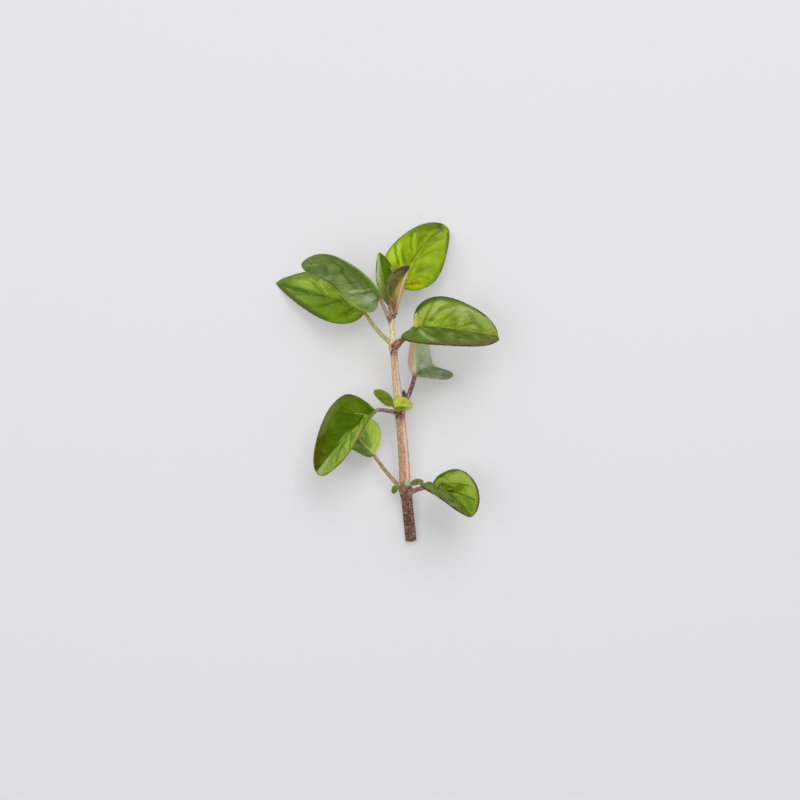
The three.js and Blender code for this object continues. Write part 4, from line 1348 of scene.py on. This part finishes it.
            (0.84, 0.2, 0.8, 0.22, "84b000", 0.95), (0.5, 0.75, 0.8, 0.32, "a8bc6c", 0.9),
            (-0.33, 0.15, 0.4, 0.1, "d4e4b0", 0.8), (-0.67, 0.22, 0.3, 0.08, "c0d090", 0.6),
            (-0.8, 0.75, 0.5, 0.22, "60784a", 0.8), (-0.52, 0.45, 0.3, 0.1, "a4b070", 0.6),
            (-0.8, 0.03, 0.4, 0.06, "b8d08c", 0.8), (0.5, 0.12, 0.5, 0.1, "a0b860", 0.7),
        ),
        "shade_glint_and_tint_lines": (
            (0.67, 0.6, 0.05, 0.72, 0.07, "506828", 0.6),
            (0.05, 0.72, -0.34, 0.58, 0.07, "506828", 0.6),
            (-0.34, 0.58, -0.42, 0.42, 0.07, "506828", 0.6),
            (-0.42, 0.42, -0.4, 0.34, 0.06, "587034", 0.4),
            (0.97, 0.42, 1.0, 0.16, 0.06, "c8d088", 0.7),
            (0.3, 0.42, 0.45, 0.2, 0.14, "7ca810", 0.8),
            (-0.67, 0.31, 0.3, 0.26, 0.06, "c8d494", 0.8),
            (-0.5, 0.14, -0.16, 0.09, 0.06, "dcf0e0", 0.8),
            (-0.43, 0.23, -0.52, 0.08, 0.07, "c0d4b8", 0.7),
            (-0.75, 0.27, -0.24, 0.24, 0.05, "647c4c", 0.5),
            (-0.1, 0.89, -0.8, 0.6, 0.07, "546c3c", 0.4),
            (-0.8, 0.5, -0.45, 0.46, 0.06, "5c7444", 0.3),
            (-0.98, 0.85, -0.98, 0.35, 0.06, "5c4c44", 0.7),
            (-0.99, 0.1, -0.96, 0.22, 0.12, "b8d050", 0.7),
        ),
    },
    # The light and dark lines in pairs beside the veins are painted highlight and painted shade on
    # the raised tissue; the yellow at the foot and the brownish line at the right margin are its
    # own colour.
    "leaf_4_right": {
        "right": ("8ea81c", "a2ba2c"), "left": ("8ca408", "9cb414"), "light": "bcd030",
        "dark": "587c00", "vein": "ccd860", "rib": "d8dc78", "margin": "48601c",
        "through": "b0d020", "margin_amount": 0.7,
        "vein_amount": 0.4, "rib_amount": 0.75, "gloss": 0.1, "sheen": "d8f090",
        "margin_wide": 0.04,
        "patches": (
            (-0.78, 0.33, 0.25, 0.14, "ccec40", 0.8), (-0.5, 0.66, 0.3, 0.1, "5c8000", 0.7),
            (-0.84, 0.75, 0.3, 0.16, "6c9008", 0.7), (0.33, 0.06, 0.6, 0.16, "d4d804", 0.7),
            (0.4, 0.5, 0.4, 0.14, "a8cc20", 0.6), (0.8, 0.42, 0.2, 0.2, "88ac10", 0.5),
            (0.3, 1.0, 1.4, 0.26, "646840", 0.7),
        ),
        "shade_glint_and_tint_lines": (
            (-0.95, 0.58, -0.85, 0.8, 0.3, "607c20", 0.7),
            (-0.08, 0.55, -0.14, 0.88, 0.08, "587c00", 0.7),
            (-0.8, 0.55, -0.3, 0.585, 0.06, "b4d444", 0.6),
            (-0.84, 0.51, -0.38, 0.53, 0.06, "5c8800", 0.7),
            (-0.82, 0.41, -0.33, 0.36, 0.07, "bce040", 0.55),
            (-0.92, 0.37, -0.5, 0.335, 0.06, "588000", 0.7),
            (0.95, 0.75, 1.0, 0.48, 0.07, "786c48", 0.7),
            (-0.94, 0.8, -0.4, 0.985, 0.18, "505c30", 0.75),
            (0.43, 0.64, 0.8, 0.7, 0.1, "6c9008", 0.6), (0.2, 0.5, 0.8, 0.38, 0.12, "b0d040", 0.4),
            (0.97, 0.12, 0.97, 0.34, 0.1, "6c8c14", 0.6),
            (0.12, 0.08, 0.14, 0.34, 0.18, "d4dc18", 0.6),
            (0.5, 0.23, 0.8, 0.2, 0.08, "789408", 0.6),
        ),
    },
    # The right half is painted dark and the left half pale as the two halves face the light, and
    # the pale patch and the pale line at one edge are painted highlights.
    "tip_leaf_left": {
        "right": ("486c00", "547800"), "left": ("9cb858", "acc468"), "light": "7aa028",
        "dark": "335c00", "vein": "7c9c30", "rib": "88a838", "margin": "3c5a00",
        "through": "7aa020", "gloss": 0.12,
        "sheen": "d8f090", "patches": ((-0.8, 0.6, 0.3, 0.3, "d4e8a4", 0.8),),
        "shade_glint_and_tint_lines": ((0.98, 0.2, 0.98, 0.5, 0.1, "b4cc78", 0.8),),
    },
    "tip_leaf_right": {
        "right": ("8c8c40", "98984c"), "left": ("c09c60", "ccac70"), "light": "989c4c",
        "dark": "4f4a1c", "vein": "8f8c48", "rib": "c0a078", "margin": "7c5844",
        "under": ("5c6418", "7c7c2c"), "under_vein": "c8b070", "through": "7a8020",
        "specks": 0.45, "under_net": 0.1, "under_patches": (
            (0.7, 0.95, 0.8, 0.22, "4c2430", 0.9), (0.9, 0.6, 0.15, 0.3, "6c6c38", 0.6),
            (0.3, 0.18, 0.6, 0.22, "8c4c38", 0.85), (0.2, 0.6, 0.2, 0.3, "c8a860", 0.8),
            (0.62, 0.45, 0.26, 0.26, "4c5410", 0.7), (0.3, 0.4, 0.16, 0.1, "a46c50", 0.7),
        ),
        "under_creases": (
            (0.98, 0.58, 0.92, 0.74, 0.14, "4c3430", 0.85),
            (0.92, 0.74, 0.7, 0.9, 0.16, "4c3430", 0.85),
        ),
    },
}
SHOOT_LOOKS = {  # plain, light, dark and margin, leaflet by leaflet, and own patches
    "side_shoot_1_left": [("63823c", "70904a", "3c5212", "4a5a20")],
    "side_shoot_1_right": [
        ("7a7c30", "868a3c", "4a3c20", "543c28"), ("b4cc9c", "c8dcb4", "8cac74", "98b078")
    ],
    "side_shoot_2_left": [
        ("6e8414", "829424", "4a5a00", "4a5a20", (0.0, 0.4, 0.4, 0.3, "948414", 0.8)),
        # In this second leaflet the dark patch over one half is painted shade and the bright
        # yellow patch a painted highlight.
        (
            "c4c83c", "d4dc54", "6c9018", "5c7c18", (0.6, 0.4, 0.62, 0.7, "687c1c", 1.0),
            (0.4, 1.0, 0.9, 0.2, "6c9040", 0.8), (-0.4, 0.2, 0.4, 0.14, "dce830", 0.7),
            (-0.5, 0.72, 0.6, 0.22, "a8b860", 0.8), (-0.5, 0.5, 0.5, 0.05, "90a040", 0.6),
            (0.5, 0.35, 0.2, 0.1, "8c6428", 0.6),
        ),
    ],
    "side_shoot_2_right": [("5a6a30", "66763a", "3c4a1c", "3c4a1c")],
}


def shoot_look(paints):
    """A leaflet's look from its few paints and patches."""
    plain, light, dark, margin, *patches = paints
    # The light paint is also the painted highlight on the raised tissue.
    look = {"right": (plain, light), "left": (plain, light), "light": light, "dark": dark}
    look.update({"vein": light, "rib": light, "margin": margin, "under": (plain, light)})
    look.update({"under_vein": light, "through": light, "margin_amount": 0.6})
    look.update({"gloss": 0.15, "patches": patches})
    return look


# In each row the top paint is the lighter one, with painted light, and the side paint the darker
# one, with painted shade, over the stalk's own colour.
STALK_PAINTS = {  # the top, the sides, the end at the stem and the midrib below the blade
    "leaf_1_left": ("ccac78", "94804c", "a8a044", "c8c890"),
    "leaf_1_right": ("a04858", "8a4450", "803040", "c8c890"),
    "leaf_2_left": ("9c6478", "845468", "5c3040", "c8cf98"),
    "leaf_2_right": ("ccac90", "582430", "70343c", "cfd4b4"),
    "leaf_3_left": ("e0cc80", "a49840", "a8b044", "c4cc84"),
    "leaf_3_right": ("ac5440", "84402c", "78301c", "c8cc94"),
    "leaf_4_left": ("ecd8bc", "b08870", "7c2c2c", "c4cc98"),
    "leaf_4_right": ("ecd89c", "d4bc80", "d4bc80", "d0d48c"),
    "tip_leaf_left": ("8c9440", "9c9048", "9c9048", "98b058"),
    "tip_leaf_right": ("b47868", "985448", "7c3838", "ecd498"),
    "side_shoot_1_left": ("7a8440", "7a8440", "7a8440", "93a35a"),
    "side_shoot_1_right": ("8a7a48", "8a7a48", "6a4a38", "93a35a"),
    "side_shoot_2_left": ("5c4430", "7a7038", "5c4430", "a0ac58"),
    "side_shoot_2_right": ("7a6a40", "7a6a40", "7a6a40", "8c9c58"),
}
print("looks:", len(LOOKS) + len(SHOOT_LOOKS))

# %% [markdown]
# ## Making the leaves
#
# A leaf is two pieces, blade and stalk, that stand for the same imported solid. The stalk's sweep
# has a groove along its top, so its section is a little square.

# %% Build one leaf
STALK_SECTION = {"Sides": 14, "Squareness": 2.3, "Furrow": 0.06, "Turn": math.pi / 4}


def swept_stalk(name, shape, skin):
    """The mesh of a stalk with its midrib."""
    points, thickness, is_rib = stalk_path(shape)
    path = path_mesh(placed(points), thickness * MM)
    write_points(path, "rib", is_rib)
    return grown(path, sweep_tree, {**STALK_SECTION, "Skin": skin}, name)


def build_leaf(name, shape, node, leaf_skin, stalk_skin):
    """Shows a blade and its stalk, and says what each encloses."""
    blade = blade_mesh(name + "_blade", shape)
    blade.materials.append(leaf_skin)
    show(name + "_blade", blade, node)
    stalk = swept_stalk(name + "_stalk", shape, stalk_skin)
    show(name + "_stalk", stalk, node)
    return inside_of(blade), inside_of(stalk)


for name, shape in LEAVES.items():
    leaf_skin = make_leaf_skin(name + "_blade", LOOKS[name], detail(shape)["veins"])
    stalk_skin = make_stalk_skin(name + "_stalk", *STALK_PAINTS[name])
    held = build_leaf(name, shape, name, leaf_skin, stalk_skin)
    print(name, "blade and stalk, cubic mm:", [round(v, 1) for v in held])

# %% [markdown]
# ## Making the side shoots
#
# The leaflets of one shoot share its stalk skin; each leaflet has a leaf skin of its own.

# %% Build the side shoots
for node, leaflets in SIDE_SHOOTS.items():
    stalk_skin = make_stalk_skin(node + "_stalk", *STALK_PAINTS[node])
    for count, (shape, paints) in enumerate(zip(leaflets, SHOOT_LOOKS[node]), 1):
        name = f"{node}_leaflet_{count}"
        leaf_skin = make_leaf_skin(name, shoot_look(paints), SMALL["veins"])
        build_leaf(name, shape, node, leaf_skin, stalk_skin)
    print(node, "leaflets:", len(leaflets))

# %% [markdown]
# ## Hairs
#
# Oregano is downy. Short pale hairs cover the stem and the stalks, fringe the leaf margins and
# stand on the underside, mostly along its midrib. There are many thousands, all alike, so Geometry
# Nodes scatter them: points are spread over a skin with a density that an attribute steers, and a
# slim bent cone stands on each, leaning a little to a random side.

# %% The hair tree
HAIR_BEND = 0.35


def make_hair_tree():
    inputs = {"Density": "Float", "Length": "Float", "Radius": "Float", "Lean": "Float"}
    tree, given = new_geometry_tree("hairs", {**inputs, "Seed": "Int", "Skin": "Material"})
    weight = given.node("GeometryNodeInputNamedAttribute", None, {"Name": "hairy"})
    sockets = {"Mesh": given, "Density": weight * given.out("Density"), "Seed": given.out("Seed")}
    spread = given.node("GeometryNodeDistributePointsOnFaces", None, sockets)
    sockets = {0: (-1, -1, -1), 1: (1, 1, 1), "Seed": given.out("Seed")}
    random_way = given.node("FunctionNodeRandomValue", {"data_type": "FLOAT_VECTOR"}, sockets)
    lean = {0: random_way, "Scale": given.out("Lean")}
    lean = given.node("ShaderNodeVectorMath", {"operation": "SCALE"}, lean)
    way = given.node("ShaderNodeVectorMath", None, {0: spread.out("Normal"), 1: lean})
    turned = given.node("FunctionNodeAlignRotationToVector", None, {"Vector": way})
    sockets = {2: 0.6, 3: 1.2, "Seed": given.out("Seed")}
    tall = given.node("FunctionNodeRandomValue", {"data_type": "FLOAT"}, sockets, 1)
    size = given.node("ShaderNodeCombineXYZ", None, {"X": tall, "Y": tall, "Z": tall})

    sockets = {"Vertices": 3, "Side Segments": 2, "Radius Top": 0.0}
    sockets.update({"Radius Bottom": given.out("Radius"), "Depth": given.out("Length")})
    hair = given.node("GeometryNodeMeshCone", None, sockets)
    height = given.node("GeometryNodeInputPosition")
    height = given.node("ShaderNodeSeparateXYZ", None, {0: height}, "Z")
    bent = {"X": height * height * HAIR_BEND / given.out("Length")}
    bent = given.node("ShaderNodeCombineXYZ", None, bent)
    hair = given.node("GeometryNodeSetPosition", None, {"Geometry": hair, "Offset": bent})

    sockets = {"Points": spread, "Instance": hair, "Rotation": turned, "Scale": size}
    hairs = given.node("GeometryNodeInstanceOnPoints", None, sockets)
    hairs = given.node("GeometryNodeRealizeInstances", None, {"Geometry": hairs})
    end_tree(hairs, given.out("Skin"))
    return tree


hair_tree = make_hair_tree()
print("hair tree nodes:", len(hair_tree.nodes))

# %% Hair skin
hair_skin, start = new_finish("hair_skin")
tone = noise_at(start, object_place(start), 900.0, 1.0)
sockets = {"Base Color": mixed(tone.rise(0.35, 0.65), "efe6cf", "f7f3ea"), "Roughness": 0.35}
finish_with(start, start.node("ShaderNodeBsdfPrincipled", None, sockets))

# %% [markdown]
# Where hairs grow is worked out for each vertex: on a blade from how near it is to the margin and
# to the midrib, and from which face it is on. On stem and stalks they are everywhere.

# %% Where hairs grow
PER_SQUARE_MM = 1e6


def blade_hairiness(mesh):
    """Thick at the margin and below the midrib, thin on the upper face."""
    across = np.zeros(len(mesh.vertices))
    for corner, place in zip(mesh.loops, mesh.uv_layers["blade"].data):
        across[corner.vertex_index] = abs(place.uv[0])
    top = np.zeros(len(mesh.vertices), np.float32)
    mesh.attributes["upper"].data.foreach_get("value", top)
    margin = np.clip((across - 0.95) / 0.05, 0, 1)
    below = (1 - top) * (0.35 + np.exp(-((across / 0.1) ** 2)))
    return 2.2 * margin + below + 0.06 * top


def downy(piece_names, name):
    """The meshes of several pieces in one, with how hairy each vertex is."""
    joined = bmesh.new()
    weight = joined.verts.layers.float.new("hairy")
    for piece in piece_names:
        mesh = bpy.data.objects[piece].data
        known = mesh.uv_layers.get("blade")
        hairiness = blade_hairiness(mesh) if known else np.ones(len(mesh.vertices))
        first = len(joined.verts)
        joined.from_mesh(mesh)
        joined.verts.ensure_lookup_table()
        for i, value in enumerate(hairiness):
            joined.verts[first + i][weight] = float(value)
    source = bpy.data.meshes.new(name + "_source")
    joined.to_mesh(source)
    joined.free()
    return source


# %% Grow and show the hairs
blades = [name for name in SHOWN if name.endswith("_blade")]
stalks = [name for name in SHOWN if name.endswith("_stalk")]
HAIR_LEAN = 0.7
HAIRS = {  # on which pieces, hairs to a square millimetre, their length and radius, seed, slot
    "stem_hairs": (["stem"], 14, 0.48, 0.021, 3, "stem"),
    "stalk_hairs": (stalks, 9, 0.34, 0.017, 5, "stem"),
    "leaf_hairs": (blades, 6, 0.26, 0.011, 8, "side_shoots"),
}
for name, (pieces, density, length, radius, seed, slot) in HAIRS.items():
    values = {"Density": density * PER_SQUARE_MM, "Length": length * MM, "Radius": radius * MM}
    values.update({"Lean": HAIR_LEAN, "Seed": seed, "Skin": hair_skin})
    hairs = grown(downy(pieces, name), hair_tree, values, name)
    kept_above(hairs)
    show(name, hairs, None)
    print(name, SHOWN[name], "triangles")

# %% [markdown]
# ## The floor, the light and the camera
#
# The sprig lies on a plain pale floor. A large soft lamp beyond its tip gives the leaves their
# shine and keeps the shadows faint, a second one from above fills them, and the world adds a
# little light from everywhere. The camera looks straight down.

# %% Floor
FLOOR_SIZE = 3.0
floor_mesh = bpy.data.meshes.new("floor")
far = FLOOR_SIZE / 2
corners = [(-far, -far, 0), (far, -far, 0), (far, far, 0), (-far, far, 0)]
floor_mesh.from_pydata(corners, [], [(0, 1, 2, 3)])
floor = bpy.data.objects.new("floor", floor_mesh)
bpy.context.scene.collection.objects.link(floor)
floor_finish, start = new_finish("floor_finish")
sockets = {"Base Color": paint("bdbcbe"), "Roughness": 0.9, "Specular IOR Level": 0.1}
sockets.update({"Emission Color": paint("fffffe"), "Emission Strength": 0.25})
finish_with(start, start.node("ShaderNodeBsdfPrincipled", None, sockets))
floor_mesh.materials.append(floor_finish)
print("floor, m:", FLOOR_SIZE, "square")


# %% Lights
MIDDLE = (0, 0, 0)
LAMP_WATTS = 2.75
SKY_TINT = (0.95, 0.96, 1.0, 1.0)
SKY_STRENGTH = 0.36


def soft_lamp(name, place, size):
    """A square lamp that is aimed at the middle of the sprig."""
    lamp = bpy.data.lights.new(name, "AREA")
    lamp.shape, lamp.size, lamp.energy = "SQUARE", size, LAMP_WATTS
    holder = bpy.data.objects.new(name, lamp)
    holder.location = place
    holder.rotation_euler = (Vector(MIDDLE) - Vector(place)).to_track_quat("-Z", "Y").to_euler()
    bpy.context.scene.collection.objects.link(holder)


soft_lamp("key_light", (0.15, 0.36, 0.62), 0.42)
soft_lamp("top_light", (-0.3, 0.02, 0.84), 0.6)
world = bpy.data.worlds.new("studio")
world.use_nodes = True
sky = world.node_tree.nodes["Background"]
sky.inputs["Color"].default_value = SKY_TINT
sky.inputs["Strength"].default_value = SKY_STRENGTH
bpy.context.scene.world = world
bpy.context.scene.view_settings.view_transform = "Standard"
print("lamps:", len(bpy.data.lights), "of", LAMP_WATTS, "watts each")

# %% Camera
CAMERA_HEIGHT = 0.444
CAMERA_OVER = (2.4, -3.8)
LENS, SENSOR = 100, 36
camera = bpy.data.objects.new("camera", bpy.data.cameras.new("camera"))
camera.data.lens = LENS
camera.data.sensor_width = SENSOR
over = placed((*CAMERA_OVER, 0))
camera.location = (over[0], over[1], CAMERA_HEIGHT)
bpy.context.scene.collection.objects.link(camera)
bpy.context.scene.camera = camera
print("camera above the floor, m:", CAMERA_HEIGHT)

# %% [markdown]
# ## The end
#
# The last cell counts the triangles of all the pieces. The visual model has to stay in the
# imported model's box.

# %% Count the triangles
print("triangles:", sum(SHOWN.values()))
